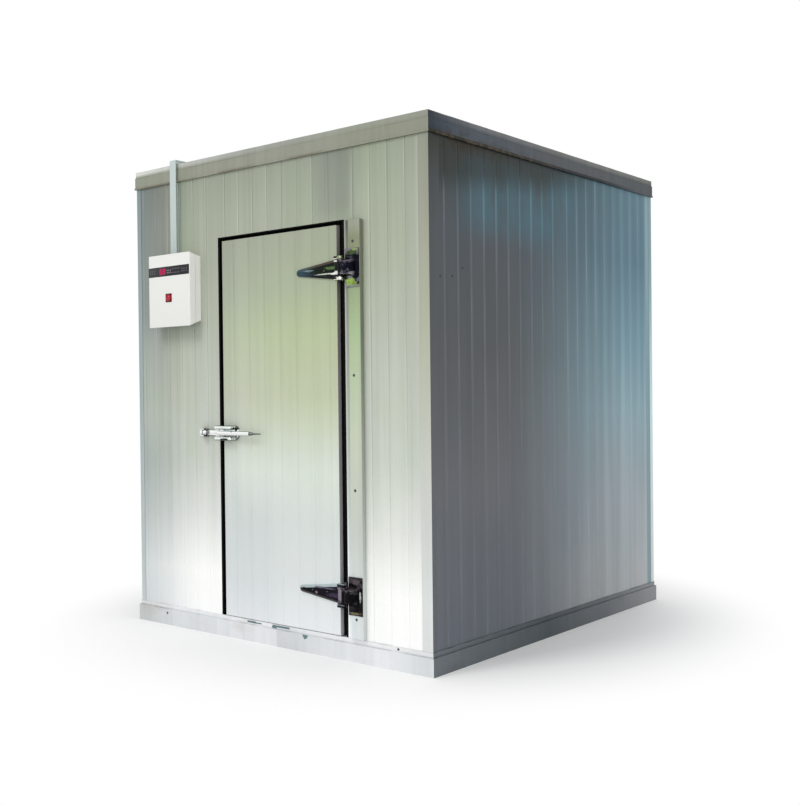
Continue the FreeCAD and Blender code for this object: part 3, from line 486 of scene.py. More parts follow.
# the fascia's colours below and above its fold: the upper face painted lighter, painted highlight;
# the side's are a darker copy, painted shade
frontFasciaLow = [(0.08, 0.555, 0.57, 0.51), (0.50, 0.57, 0.575, 0.53),
                  (0.92, 0.55, 0.56, 0.50)]
frontFasciaHigh = [(0.10, 0.82, 0.83, 0.80), (0.28, 0.70, 0.71, 0.69),
                   (0.50, 0.60, 0.61, 0.58), (0.92, 0.565, 0.575, 0.53)]
sideFasciaLow = [(0.07, 0.18, 0.22, 0.27), (0.16, 0.29, 0.32, 0.36),
                 (0.50, 0.34, 0.36, 0.38), (0.90, 0.30, 0.32, 0.34)]
sideFasciaHigh = [(0.07, 0.17, 0.20, 0.24), (0.13, 0.33, 0.35, 0.38),
                  (0.22, 0.44, 0.45, 0.46), (0.67, 0.49, 0.49, 0.49), (0.92, 0.46, 0.47, 0.44)]
materials = {
    "front": makeFrontSheet(),
    "back": makeBackSheet(),
    "door": makeDoorSheet(),
    "side": makeSideSheet(),
    "fasciaFront": makeFasciaSheet("fasciaFront", 0, frontFasciaLow, frontFasciaHigh, 0.0),
    "fasciaSide": makeFasciaSheet("fasciaSide", 1, sideFasciaLow, sideFasciaHigh, 1.0),
    # the trims' colours by height follow the walls' painted reflection, lighter towards the floor;
    # their second stops colour faces that look to the right or left with painted shade
    "cornerFront": makeTrim("cornerFront", [
        (0.04, 0.90, 0.91, 0.91), (0.13, 0.90, 0.91, 0.91), (0.25, 0.85, 0.86, 0.85),
        (0.42, 0.79, 0.80, 0.76), (0.62, 0.70, 0.72, 0.64), (0.83, 0.62, 0.625, 0.57),
        (0.94, 0.57, 0.59, 0.53)], sideNear),
    "cornerLeft": makeTrim("cornerLeft", [
        (0.05, 0.80, 0.83, 0.84), (0.40, 0.68, 0.73, 0.73), (0.95, 0.50, 0.56, 0.57)], [
        (0.05, 0.70, 0.72, 0.72), (0.95, 0.46, 0.50, 0.51)]),
    "cornerFar": makeTrim("cornerFar", backTones, farTrim),
    "baseFront": makeBaseSheet("baseFront", 0, frontBase, 0.40),
    "baseSide": makeBaseSheet("baseSide", 1, sideBase, 0.0),
    "strip": makeTrim("stripSheet", [
        (0.05, 0.90, 0.92, 0.93), (0.25, 0.80, 0.82, 0.79), (0.42, 0.77, 0.80, 0.72),
        (0.62, 0.65, 0.73, 0.57), (0.79, 0.52, 0.54, 0.43), (0.815, 0.58, 0.60, 0.53)], [
        (0.05, 0.86, 0.88, 0.88), (0.42, 0.68, 0.70, 0.66), (0.62, 0.50, 0.53, 0.47),
        (0.80, 0.52, 0.53, 0.46)]),
    # the rolled edge of the strip, a darker copy of the strip's colours: painted shade on its
    # slope
    "stripRoll": makeTrim("stripRollSheet", [
        (0.05, 0.94, 0.96, 0.98), (0.22, 0.80, 0.83, 0.83), (0.42, 0.67, 0.70, 0.66),
        (0.62, 0.59, 0.60, 0.57), (0.79, 0.46, 0.46, 0.44), (0.815, 0.36, 0.36, 0.34)]),
    "inside": makeTrim("insideSheet", [(0.0, 0.90, 0.91, 0.91), (1.0, 0.90, 0.91, 0.91)]),
    "black": makePlain("blackPlastic", tint(0.03, 0.03, 0.03), 0.6, specular=0.05),
    "gasket": makePlain("gasketRubber", tint(0.03, 0.03, 0.03), 0.7, specular=0.05),
    # the box's faces to the right or left are painted lighter than its front: painted light
    "white": makePlain("boxPlastic", tint(0.875, 0.875, 0.86), 0.35, coat=0.1,
                       side=tint(0.98, 0.975, 0.965), mottle=0.12),
    "trunking": makePlain("trunkingPlastic", tint(0.71, 0.76, 0.75), 0.4, coat=0.1),
    "display": makePlain("displayPlastic", tint(0.15, 0.15, 0.16), 0.3, specular=0.2),
    "key": makePlain("keyPlastic", tint(0.34, 0.35, 0.36), 0.45, specular=0.2),
    "lamp": makePlain("lampPlastic", tint(0.56, 0.50, 0.53), 0.45, specular=0.2),
    # the lit strokes' glow is painted into their colour
    "digits": makePlain("digitLamps", tint(0.85, 0.08, 0.37), 0.3, specular=0.2),
    "rim": makePlain("switchRim", tint(0.28, 0.03, 0.06), 0.5, specular=0.05),
    "red": makePlain("redPlastic", tint(0.62, 0.04, 0.14), 0.3, specular=0.3),
    # the switch's mark, its glow painted into its colour
    "glow": makePlain("switchMark", tint(0.95, 0.34, 0.42), 0.3, specular=0.3),
    "screw": makePlain("screwMetal", tint(0.30, 0.32, 0.32), 0.4, metallic=0.8),
    "rust": makePlain("rustySpot", tint(0.26, 0.22, 0.20), 0.8),
    # the marks under the door: painted shade in gaps along the sill
    "dark": makePlain("sillGapShade", tint(0.40, 0.50, 0.52), 0.6, specular=0.2),
    # the hinges' and the latch's chrome: their ramps and glints are painted reflections and
    # painted highlights, the darkest of them painted shade
    "strapUpper": makeChrome("hingeStrapUpper", [
        (0.00, 0.03, 0.03, 0.03), (0.26, 0.05, 0.06, 0.06), (0.31, 0.90, 0.90, 0.88),
        (0.43, 0.96, 0.95, 0.93), (0.46, 0.10, 0.13, 0.10), (0.54, 0.09, 0.13, 0.10),
        (0.66, 0.20, 0.16, 0.12), (0.76, 0.30, 0.22, 0.17), (1.00, 0.16, 0.16, 0.13)], [
        (0.445, 1.775, 0.040, 0.007, 0.34, 0.42, 0.26),
        (0.300, 1.772, 0.030, 0.004, 0.44, 0.52, 0.52),
        (0.410, 1.750, 0.060, 0.003, 0.78, 0.80, 0.76),
        (0.475, 1.748, 0.034, 0.006, 0.95, 0.94, 0.93),
        (0.522, 1.812, 0.018, 0.010, 0.58, 0.62, 0.50),
        (0.522, 1.722, 0.018, 0.012, 0.92, 0.92, 0.88)],
        0.10, (0.36, 0.24, tint(0.20, 0.29, 0.34))),
    "buttUpper": makeChrome("hingeButtUpper", [
        (0.00, 0.03, 0.03, 0.03), (0.20, 0.10, 0.10, 0.10), (0.30, 0.66, 0.66, 0.68),
        (0.42, 0.60, 0.60, 0.64), (0.46, 0.04, 0.04, 0.09), (0.54, 0.04, 0.04, 0.10),
        (0.62, 0.52, 0.50, 0.54), (0.78, 0.30, 0.31, 0.30), (1.00, 0.12, 0.14, 0.10)], [
        (0.562, 1.705, 0.024, 0.018, 0.62, 0.74, 0.36),
        (0.590, 1.695, 0.016, 0.010, 0.52, 0.62, 0.32),
        (0.575, 1.835, 0.030, 0.010, 0.26, 0.34, 0.18),
        (0.590, 1.846, 0.016, 0.006, 0.54, 0.62, 0.38)], 0.22),
    "strapLower": makeChrome("hingeStrapLower", [
        (0.00, 0.05, 0.04, 0.04), (0.24, 0.10, 0.08, 0.08), (0.44, 0.07, 0.06, 0.08),
        (0.52, 0.09, 0.08, 0.12), (0.60, 0.34, 0.34, 0.40), (0.70, 0.62, 0.67, 0.68),
        (1.00, 0.78, 0.83, 0.83)], [
        (0.455, 0.290, 0.060, 0.010, 0.24, 0.21, 0.28),
        (0.380, 0.318, 0.060, 0.004, 0.38, 0.37, 0.45),
        (0.330, 0.293, 0.008, 0.005, 0.52, 0.44, 0.48),
        (0.500, 0.305, 0.024, 0.032, 0.56, 0.51, 0.56),
        (0.522, 0.276, 0.016, 0.012, 0.42, 0.36, 0.42),
        (0.250, 0.300, 0.020, 0.008, 0.10, 0.07, 0.08)], 0.12),
    "buttLower": makeChrome("hingeButtLower", [
        (0.00, 0.04, 0.03, 0.04), (0.28, 0.08, 0.07, 0.08), (0.36, 0.20, 0.18, 0.21),
        (0.44, 0.04, 0.03, 0.04), (0.56, 0.03, 0.02, 0.03), (0.68, 0.40, 0.38, 0.41),
        (1.00, 0.45, 0.43, 0.46)], [
        (0.575, 0.366, 0.030, 0.012, 0.34, 0.30, 0.32),
        (0.602, 0.300, 0.006, 0.024, 0.70, 0.70, 0.72),
        (0.545, 0.335, 0.010, 0.014, 0.38, 0.32, 0.36),
        (0.570, 0.224, 0.034, 0.006, 0.46, 0.44, 0.32)], 0.40),
    "latch": makeChrome("latchChrome", [
        (0.00, 0.16, 0.18, 0.16), (0.22, 0.48, 0.51, 0.49), (0.42, 0.97, 0.97, 0.97),
        (0.58, 0.97, 0.98, 0.97), (0.72, 0.84, 0.88, 0.86), (0.88, 0.22, 0.25, 0.23),
        (1.00, 0.25, 0.28, 0.26)], [
        (-0.270, 1.034, 0.044, 0.008, 0.74, 0.80, 0.77),
        (-0.206, 1.036, 0.012, 0.014, 0.14, 0.17, 0.15),
        (-0.262, 0.986, 0.030, 0.005, 0.15, 0.18, 0.16),
        (-0.204, 0.992, 0.010, 0.012, 0.48, 0.52, 0.50),
        (-0.424, 1.016, 0.012, 0.020, 0.22, 0.23, 0.22),
        (-0.404, 1.016, 0.010, 0.016, 0.50, 0.50, 0.50),
        (-0.340, 1.016, 0.022, 0.036, 0.94, 0.95, 0.94)], 0.10),
    # a darker copy of the latch's chrome for the lever's tip: painted shade
    "latchDark": makeChrome("latchChromeDark", [
        (0.00, 0.20, 0.21, 0.20), (0.40, 0.42, 0.44, 0.43), (0.60, 0.58, 0.61, 0.59),
        (1.00, 0.24, 0.26, 0.25)], [], 0.4),
}
print("materials made")

finishes = [  # a node takes the first line that its name starts with
    ("front_wall", "front"), ("right_wall", "side"), ("left_wall", "side"), ("back_wall", "back"),
    ("roof", "inside"), ("floor", "inside"),
    ("fascia_front", "fasciaFront"), ("fascia_back", "fasciaFront"), ("fascia", "fasciaSide"),
    ("corner_trim_front_right", "cornerFront"), ("corner_trim_front_left", "cornerLeft"),
    ("corner_trim_back", "cornerFar"),
    ("base_channel_front", "baseFront"), ("base_channel_back", "baseFront"),
    ("base_channel", "baseSide"), ("door_threshold", "baseFront"),
    ("door_frame", "black"), ("door_leaf", "door"), ("door_gasket", "gasket"),
    ("rocker_switch", "red"),
]
finished = 0
for nodeName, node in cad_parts.items():
    finish = next((finish for start, finish in finishes if nodeName.startswith(start)), None)
    if finish:
        node.data.materials.clear()
        node.data.materials.append(materials[finish])
        finished += 1
print("finishes given to", finished, "nodes")


def roundEdges(bm, edges, offset, segments=2):
    bmesh.ops.bevel(bm, geom=list(edges), offset=offset, offset_type="OFFSET",
                    segments=segments, profile=0.5, affect="EDGES", material=-1,
                    clamp_overlap=True)


def addBlock(bm, low, high, rounding=0.0, segments=2):
    low, high = Vector(low), Vector(high)
    place = Matrix.Translation((low + high) / 2) @ Matrix.Diagonal((*(high - low), 1.0))
    corners = bmesh.ops.create_cube(bm, size=1.0, matrix=place)["verts"]
    if rounding:
        roundEdges(bm, {edge for corner in corners for edge in corner.link_edges}, rounding,
                   segments)
    return corners


def addRod(bm, start, end, radius, rounding=0.0, farRadius=None, sides=32):
    start, end = Vector(start), Vector(end)
    turn = (end - start).to_track_quat("Z", "Y").to_matrix().to_4x4()
    place = Matrix.Translation((start + end) / 2) @ turn
    far = radius if farRadius is None else farRadius
    rings = bmesh.ops.create_cone(bm, cap_ends=True, segments=sides, radius1=radius,
                                  radius2=far, depth=(end - start).length, matrix=place)["verts"]
    if rounding:
        rims = {edge for corner in rings for edge in corner.link_edges
                if any(len(face.verts) > 4 for face in edge.link_faces)}
        roundEdges(bm, rims, rounding, 3)


def addOutline(bm, outline, back):  # an upright face, its corners as seen from the front
    return bm.faces.new([bm.verts.new((x, back, z)) for x, z in outline])


def roundCorners(bm, corners, offset, segments):  # of a single face, which it returns
    bmesh.ops.bevel(bm, geom=corners, offset=offset, offset_type="OFFSET", segments=segments,
                    profile=0.5, affect="VERTICES", material=-1)
    return bm.faces[:][0]


def extrudeFace(bm, face, way):  # returns the face at the far end
    made = bmesh.ops.extrude_face_region(bm, geom=[face])["geom"]
    corners = [item for item in made if isinstance(item, bmesh.types.BMVert)]
    bmesh.ops.translate(bm, verts=corners, vec=way)
    return next(item for item in made if isinstance(item, bmesh.types.BMFace))


def frontFace(bm):
    return min(bm.faces, key=lambda face: face.calc_center_median().y)


def addScrew(bm, at, radius, depth=0.003):  # at is the seat on a face that looks forwards
    x, y, z = at
    addRod(bm, (x, y, z), (x, y - depth, z), radius, farRadius=radius * 0.72, sides=20)
    addRod(bm, (x, y - depth * 0.6, z), (x, y - depth * 1.15, z), radius * 0.34, sides=6)


def finishPiece(bm, name, body, finish, nodes=(), sharp=35.0):
    bmesh.ops.recalc_face_normals(bm, faces=bm.faces[:])
    mesh = bpy.data.meshes.new(name)
    bm.to_mesh(mesh)
    bm.free()
    mesh.shade_smooth()
    mesh.set_sharp_from_angle(angle=math.radians(sharp))
    mesh.materials.append(materials[finish])
    piece = bpy.data.objects.new(name, mesh)
    scene.collection.objects.link(piece)
    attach(piece, body)
    if nodes:
        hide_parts(*nodes)
    return piece


# Hinges: a butt with a fixed barrel on the strip, a long tapered strap on the door
hinge = {
    "barrel": 0.011,
    "plateGap": 0.0105,      # from the hinge's axis to the butt's plate
    "plateDepth": 0.005,
    "plateRounding": 0.0006,
    "blockWidth": 0.058,
    "blockInset": 0.014,
    "blockSlope": 0.6,       # how much of the inset is taken at its top and foot
    "buttAxis": 0.012,
    "neckFront": 0.009,
    "neckBack": 0.005,
    "neckShare": 0.8,
    "screwsAcross": (0.24, 0.76),
    "screwsUp": 0.40,
    "screwRadius": 0.0055,
    "eyeHeight": 0.015,
    "eyeGap": 0.001,
    "webWidth": 0.020,
    "webGap": 0.005,
    "rootHeight": 0.100,
    "tipRadius": 0.0135,
    "tipRounding": 0.98,
    "strapDepth": 0.009,
    "strapScrews": (0.30, 0.62, 0.88),
    "strapScrewRadius": 0.0045,
    "webDepth": 0.004,
    "eyeDepth": 0.007,
    "webRounding": 0.003,
    "ridgeInset": 0.010,
    "ridgeDepth": 0.006,
    "ridgeRounding": 0.0025,
    "sharp": 25.0,
    "rounding": 0.002,
}


def makeButt(level, finish):
    node = "hinge_butt_" + level
    low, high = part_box(node)
    axisX = low[0] + hinge["barrel"]
    left = axisX + hinge["plateGap"]
    middle = (low[2] + high[2]) / 2
    seat = high[1]
    face = seat - hinge["plateDepth"]
    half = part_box("hinge_strap_" + level)[1][2] - middle - hinge["eyeHeight"] - hinge["eyeGap"]
    bm = bmesh.new()
    addBlock(bm, (left, face, low[2]), (high[0], seat, high[2]), hinge["plateRounding"])
    wide = left + hinge["blockWidth"]
    block = addBlock(bm, (left, low[1], middle - half), (wide, face + 0.001, middle + half))
    for corner in block:  # it narrows towards its front
        if corner.co.y < face - 0.002:
            towards = 1.0 if corner.co.z < middle else -1.0
            corner.co.z += hinge["blockInset"] * hinge["blockSlope"] * towards
            if corner.co.x > left + 0.01:
                corner.co.x -= hinge["blockInset"]
    roundEdges(bm, {edge for corner in block for edge in corner.link_edges}, hinge["rounding"])
    axisY = low[1] + hinge["buttAxis"]
    neck = half * hinge["neckShare"]
    addBlock(bm, (axisX, axisY - hinge["neckFront"], middle - neck),
             (left + 0.004, axisY + hinge["neckBack"], middle + neck), hinge["rounding"])
    addRod(bm, (axisX, axisY, middle - half), (axisX, axisY, middle + half),
           hinge["barrel"], 0.0015)
    for side in (-1, 1):
        for across in hinge["screwsAcross"]:
            up = middle + side * (high[2] - low[2]) * hinge["screwsUp"]
            addScrew(bm, (left + (high[0] - left) * across, face, up), hinge["screwRadius"])
    finishPiece(bm, "hingeButt" + level.capitalize(), "room", finish, [node],
                hinge["sharp"])


def makeStrap(level, finish):
    node = "hinge_strap_" + level
    low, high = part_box(node)
    middle = (low[2] + high[2]) / 2
    seat = high[1]
    axisX = high[0] - hinge["barrel"]
    axisY = low[1] + hinge["barrel"]
    root = axisX - hinge["barrel"] - hinge["webGap"]
    half = hinge["rootHeight"] / 2
    tip = hinge["tipRadius"]
    bm = bmesh.new()
    outline = [(root, middle - half), (root, middle + half),
               (low[0], middle + tip), (low[0], middle - tip)]
    start = addOutline(bm, outline, seat)
    ends = [corner for corner in start.verts if corner.co.x < low[0] + tip]
    start = roundCorners(bm, ends, tip * hinge["tipRounding"], 7)
    front = extrudeFace(bm, start, (0.0, -hinge["strapDepth"], 0.0))
    bmesh.ops.recalc_face_normals(bm, faces=bm.faces[:])
    roundEdges(bm, front.edges, hinge["rounding"], 1)
    bmesh.ops.inset_region(bm, faces=[frontFace(bm)], thickness=hinge["ridgeInset"],
                           depth=hinge["ridgeDepth"], use_even_offset=True)
    roundEdges(bm, frontFace(bm).edges, hinge["ridgeRounding"], 3)
    reach = high[2] - middle
    web, rounding, eyeDepth = root - hinge["webWidth"], hinge["webRounding"], hinge["eyeDepth"]
    for side in (-1, 1):
        near = middle + side * (half * 0.55)
        far = middle + side * reach
        eyeNear = middle + side * (reach - hinge["eyeHeight"])
        addBlock(bm, (web, axisY - hinge["webDepth"], min(near, far)),
                 (root, seat, max(near, far)), rounding)
        addBlock(bm, (web, axisY - eyeDepth, min(eyeNear, far)),
                 (axisX, axisY + eyeDepth, max(eyeNear, far)), rounding)
        addRod(bm, (axisX, axisY, eyeNear), (axisX, axisY, far), hinge["barrel"], rounding)
    addBlock(bm, (web, axisY, middle - half * 0.6), (root, seat, middle + half * 0.6), rounding)
    ridge = seat - hinge["strapDepth"] - hinge["ridgeDepth"]
    for share in hinge["strapScrews"]:
        addScrew(bm, (low[0] + (root - low[0]) * share, ridge, middle),
                 hinge["strapScrewRadius"], 0.0008)
    finishPiece(bm, "hingeStrap" + level.capitalize(), "door", finish, [node],
                hinge["sharp"])


for level in ("upper", "lower"):
    makeButt(level, "butt" + level.capitalize())
    makeStrap(level, "strap" + level.capitalize())
print("hinges made")


# Latch: a keeper on the wall, an oval housing on the door and a lever that pulls outwards
latch = {
    "plateLength": 0.170,
    "plateDepth": 0.012,
    "plateRounding": 0.004,
    "cornerRadius": 0.034,
    "tongueDepth": 0.018,
    "tongueHalf": 0.013,
    "lugHeight": 0.019,
    "lugWidth": 0.120,
    "lugRounding": 0.006,
    "eyeRadius": 0.011,
    "pinRadius": 0.005,
    "barThickness": 0.013,
    "tipLength": 0.080,
    "tipRadius": 0.0025,
    "keeperSlot": 0.014,
    "keeperStep": 0.006,
    "keeperHeel": 0.016,
    "keeperFloor": 0.020,
    "keeperRounding": 0.004,
    "screwInset": 0.014,
    "screwRadius": 0.006,
    "tipRoot": 0.006,
    "collar": (0.024, 0.009, 0.0065),  # length and both radii of the ring at the tip's root
}


def makeKeeper():
    low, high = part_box("latch_keeper")
    bm = bmesh.new()
    middle = (low[2] + high[2]) / 2
    slot = latch["keeperSlot"] / 2 + 0.004
    left, rounding = low[0] + latch["keeperStep"], latch["keeperRounding"]
    addBlock(bm, (low[0], low[1] + latch["keeperStep"], low[2]),
             (low[0] + latch["keeperHeel"], high[1], high[2]), rounding, 3)
    addBlock(bm, (left, low[1], middle + slot), high, rounding, 3)
    addBlock(bm, (left, low[1], low[2]), (high[0], high[1], middle - slot), rounding, 3)
    addBlock(bm, (left, low[1] + latch["keeperFloor"], low[2] + 0.004),
             (high[0], high[1], high[2] - 0.004), 0.001)
    finishPiece(bm, "latchKeeper", "room", "latch", ["latch_keeper"])


def makeLatchBody():
    low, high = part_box("latch_body")
    seat = high[1]
    middle = (low[2] + high[2]) / 2
    plateLeft = high[0] - latch["plateLength"]
    bm = bmesh.new()
    outline = [(plateLeft, low[2]), (high[0], low[2]), (high[0], high[2]), (plateLeft, high[2])]
    addOutline(bm, outline, seat)
    start = roundCorners(bm, bm.verts[:], latch["cornerRadius"], 8)
    front = extrudeFace(bm, start, (0.0, -latch["plateDepth"], 0.0))
    bmesh.ops.recalc_face_normals(bm, faces=bm.faces[:])
    roundEdges(bm, front.edges, latch["plateRounding"], 3)
    addBlock(bm, (low[0], seat - latch["tongueDepth"], middle - latch["tongueHalf"]),
             (plateLeft + 0.02, seat, middle + latch["tongueHalf"]), 0.003)
    lugLeft = plateLeft + (high[0] - plateLeft - latch["lugWidth"]) / 2
    lugRight = lugLeft + latch["lugWidth"]
    for near, far in ((low[2], low[2] + latch["lugHeight"]),
                      (high[2] - latch["lugHeight"], high[2])):
        addBlock(bm, (lugLeft, low[1], near), (lugRight, seat - latch["plateDepth"] + 0.002, far),
                 latch["lugRounding"], 3)
    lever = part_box("latch_lever")
    pinX = lever[0][0] + latch["eyeRadius"]
    pinY = lever[0][1] + latch["eyeRadius"]
    addRod(bm, (pinX, pinY, low[2] + 0.002), (pinX, pinY, high[2] - 0.002), latch["pinRadius"])
    for x in (plateLeft + latch["screwInset"], high[0] - latch["screwInset"]):
        addScrew(bm, (x, seat - latch["plateDepth"] + 0.0006, middle), latch["screwRadius"])
    finishPiece(bm, "latchBody", "door", "latch", ["latch_body"])


def makeLever():
    low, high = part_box("latch_lever")
    middle = (low[2] + high[2]) / 2
    pinX = low[0] + latch["eyeRadius"]
    pinY = low[1] + latch["eyeRadius"]
    barEnd = high[0] - latch["tipLength"]
    back = low[1] + latch["barThickness"]
    bm = bmesh.new()
    addRod(bm, (pinX, pinY, low[2]), (pinX, pinY, high[2]), latch["eyeRadius"], 0.002)
    addBlock(bm, (pinX, low[1], low[2]), (barEnd, back, high[2]), 0.004, 3)
    core = (low[1] + back) / 2
    finishPiece(bm, "latchLever", "handle", "latch", ["latch_lever"])
    bm = bmesh.new()
    addRod(bm, (barEnd - 0.004, core, middle), (high[0], core, middle), latch["tipRoot"],
           0.0012, latch["tipRadius"], 20)
    length, wide, narrow = latch["collar"]
    addRod(bm, (barEnd - 0.001, core, middle), (barEnd + length, core, middle), wide, 0.0015,
           narrow, 20)
    finishPiece(bm, "leverTip", "handle", "latchDark")


makeKeeper()
makeLatchBody()
makeLever()
print("latch made")


# Control box: a cover with a display strip, on a back that narrows to the wall
controls = {
    "coverDepth": 0.040,
    "topTaper": 0.020,
    "lowTaper": 0.030,
    "rounding": 0.006,
    "seam": 0.002,           # the shadow gap behind the cover
    "seamInset": 0.004,
    "backInset": 0.0012,
    "bezelRim": 0.004,
    "sleeve": 0.0008,
    "pocketDepth": 0.0155,
    "digitPlace": 0.356,
    "digitHeight": 0.024,
    "digitWidth": 0.016,
    "stroke": 0.0055,
    "digitGap": 0.009,
    "digitProud": 0.0012,
    "keySize": (0.004, 0.004, 0.006),     # half width, half height, height above the middle
    "printSize": (0.008, 0.0022, 0.010),  # the same for a row of small print
    "keyProud": 0.0008,
    "glow": 0.0006,
    "keys": ((0.018, True), (0.032, True), (0.050, True), (0.196, False), (0.218, False),
             (0.240, False), (0.268, True), (0.284, True), (0.302, True)),
    "lamps": (0.152, 0.164, 0.176),
    "lampHeights": (-0.008, 0.004),
    "lampRadius": 0.0035,
    "mark": (0.0025, 0.003, 0.011),       # on the switch: half width, foot and top over its middle
}


def switchOpening(spare):  # the opening inside the switch's rim, wider by spare all round
    low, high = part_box("switch_bezel")
    rim = controls["bezelRim"] - spare
    return low[0] + rim, high[0] - rim, low[2] + rim, high[2] - rim


def cutPocket(bm):  # lets the switch into the cover's face
    left, right, bottom, top = switchOpening(controls["sleeve"] + 0.0002)
    front = frontFace(bm).calc_center_median().y
    for place, direction in (((left, 0, 0), (1, 0, 0)), ((right, 0, 0), (1, 0, 0)),
                             ((0, 0, bottom), (0, 0, 1)), ((0, 0, top), (0, 0, 1))):
        geometry = [item for face in bm.faces if face.calc_center_median().y < front + 0.0001
                    for item in (face, *face.edges, *face.verts)]
        bmesh.ops.bisect_plane(bm, geom=list(dict.fromkeys(geometry)), plane_co=place,
                               plane_no=direction)
    middle = Vector(((left + right) / 2, front, (bottom + top) / 2))
    face = min(bm.faces, key=lambda face: (face.calc_center_median() - middle).length)
    bmesh.ops.inset_individual(bm, faces=[face], thickness=0.0001,
                               depth=-controls["pocketDepth"], use_even_offset=True)


def makeBox():
    low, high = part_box("control_box")
    middle = (low[2] + high[2]) / 2
    depth = high[1] - low[1]

    def block(bm, near, far, inset):  # near and far are depths behind the cover's face
        corners = addBlock(bm, (low[0] + inset, low[1] + near, low[2] + inset),
                           (high[0] - inset, low[1] + far, high[2] - inset))
        for corner in corners:
            share = (corner.co.y - low[1]) / depth
            corner.co.z += share * (controls["lowTaper"] if corner.co.z < middle
                                    else -controls["topTaper"])

    bm = bmesh.new()
    cover = controls["coverDepth"]
    block(bm, 0.0, cover, 0.0)
    roundEdges(bm, [edge for edge in bm.edges
                    if min(corner.co.y for corner in edge.verts) < low[1] + cover - 0.001],
               controls["rounding"], 4)
    cutPocket(bm)
    block(bm, cover - 0.004, cover + 0.006, controls["seamInset"])
    block(bm, cover + controls["seam"], depth, controls["backInset"])
    finishPiece(bm, "controlBox", "room", "white", ["control_box"])


def makeDisplay():
    low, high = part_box("control_display")
    bm = bmesh.new()
    addBlock(bm, (low[0], low[1], low[2]), (high[0], low[1] + 0.003, high[2]), 0.0007)
    finishPiece(bm, "controlDisplay", "room", "display", ["control_display"])
    width = high[0] - low[0]
    middle = (low[2] + high[2]) / 2
    face = low[1] + controls["glow"]
    bm = bmesh.new()
    half = controls["digitHeight"] / 2
    stroke, proud = controls["stroke"], controls["digitProud"]
    for number in range(2):  # two figures of seven strokes each, all lit, their glow painted into their colour
        centre = low[0] + width * controls["digitPlace"] \
            + (number - 0.5) * (controls["digitWidth"] + controls["digitGap"])
        left, right = centre - controls["digitWidth"] / 2, centre + controls["digitWidth"] / 2
        for z in (middle - half, middle, middle + half):
            addBlock(bm, (left, face - proud, z - stroke / 2), (right, face, z + stroke / 2))
        for x in (left, right):
            addBlock(bm, (x - stroke / 2, face - proud, middle - half),
                     (x + stroke / 2, face, middle + half))
    finishPiece(bm, "displayDigits", "room", "digits")
    bm = bmesh.new()
    for x, isKey in controls["keys"]:
        halfWidth, halfHeight, above = controls["keySize" if isKey else "printSize"]
        for z in (middle - above, middle + above):
            addBlock(bm, (low[0] + x - halfWidth, face - controls["keyProud"], z - halfHeight),
                     (low[0] + x + halfWidth, face, z + halfHeight), 0.0006)
    finishPiece(bm, "displayKeys", "room", "key")
    bm = bmesh.new()
    for x in controls["lamps"]:
        for up in controls["lampHeights"]:
            addRod(bm, (low[0] + x, face, middle + up), (low[0] + x, face - 0.0009, middle + up),
                   controls["lampRadius"], sides=16)
    finishPiece(bm, "displayLamps", "room", "lamp")


def makeSwitch():
    low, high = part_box("switch_bezel")
    rim, sleeve = controls["bezelRim"], controls["sleeve"]
    bm = bmesh.new()
    addBlock(bm, low, high)
    bmesh.ops.recalc_face_normals(bm, faces=bm.faces[:])
    front = frontFace(bm)
    back = max(bm.faces, key=lambda face: face.calc_center_median().y)
    outer = list(front.edges)
    bmesh.ops.inset_individual(bm, faces=[front], thickness=rim, depth=0.0)
    bmesh.ops.inset_individual(bm, faces=[back], thickness=rim - sleeve, depth=0.0)
    bmesh.ops.inset_individual(bm, faces=[front], thickness=0.00005,
                               depth=low[1] - high[1] - controls["pocketDepth"] + 0.0012)
    bmesh.ops.inset_individual(bm, faces=[back], thickness=0.00005,
                               depth=controls["pocketDepth"] - 0.0004)
    roundEdges(bm, outer, 0.0012)
    finishPiece(bm, "switchBezel", "room", "rim", ["switch_bezel"])
    low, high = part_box("rocker_switch")
    middle = (low[0] + high[0]) / 2
    crown = (low[2] + high[2]) / 2
    halfWidth, foot, top = controls["mark"]
    bm = bmesh.new()
    addBlock(bm, (middle - halfWidth, low[1] + 0.0028, crown + foot),
             (middle + halfWidth, low[1] + 0.0060, crown + top), 0.0006)
    finishPiece(bm, "rockerMark", "rocker", "glow")


makeBox()
makeDisplay()
makeSwitch()
print("controls made")


# Cable trunking: a channel with a snapped-on lid, from the box over the edge of the roof
trunking = {"lid": 0.003, "lip": 0.003, "rounding": 0.0015, "lidFoot": 0.014, "notchGap": 0.012}


def makeTrunking():
    low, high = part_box("cable_trunking_riser")
    roofLow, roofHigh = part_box("cable_trunking_roof")
    step = roofLow[1]
    lid = low[1] + trunking["lid"]
    notch = fascia["hem"] - trunking["notchGap"]
    lip = trunking["lip"]
    bm = bmesh.new()
    addBlock(bm, (low[0], low[1], low[2] + trunking["lidFoot"]), (high[0], lid, high[2]),
             trunking["rounding"])
    addBlock(bm, (low[0] + lip, lid - 0.001, low[2] + 0.004), (high[0] - lip, step, high[2] - lip))
    addBlock(bm, (low[0] + lip, step - 0.001, low[2] + 0.002), (high[0] - lip, high[1], notch))
    addBlock(bm, (low[0] + 0.0005, low[1] + 0.0005, high[2] - trunking["lid"]),
             (high[0] - 0.0005, step, high[2] - 0.0005), 0.0008)
    finishPiece(bm, "cableTrunkingRiser", "room", "trunking",
                ["cable_trunking_riser"])
    bm = bmesh.new()
    addBlock(bm, (roofLow[0], roofLow[1], roofHigh[2] - trunking["lid"]), roofHigh,
             trunking["rounding"])
    addBlock(bm, (roofLow[0] + lip, roofLow[1] + 0.0005, roofLow[2]),
             (roofHigh[0] - lip, roofHigh[1] - 0.0005, roofHigh[2] - 0.001))
    finishPiece(bm, "cableTrunkingRoof", "room", "trunking",
                ["cable_trunking_roof"])


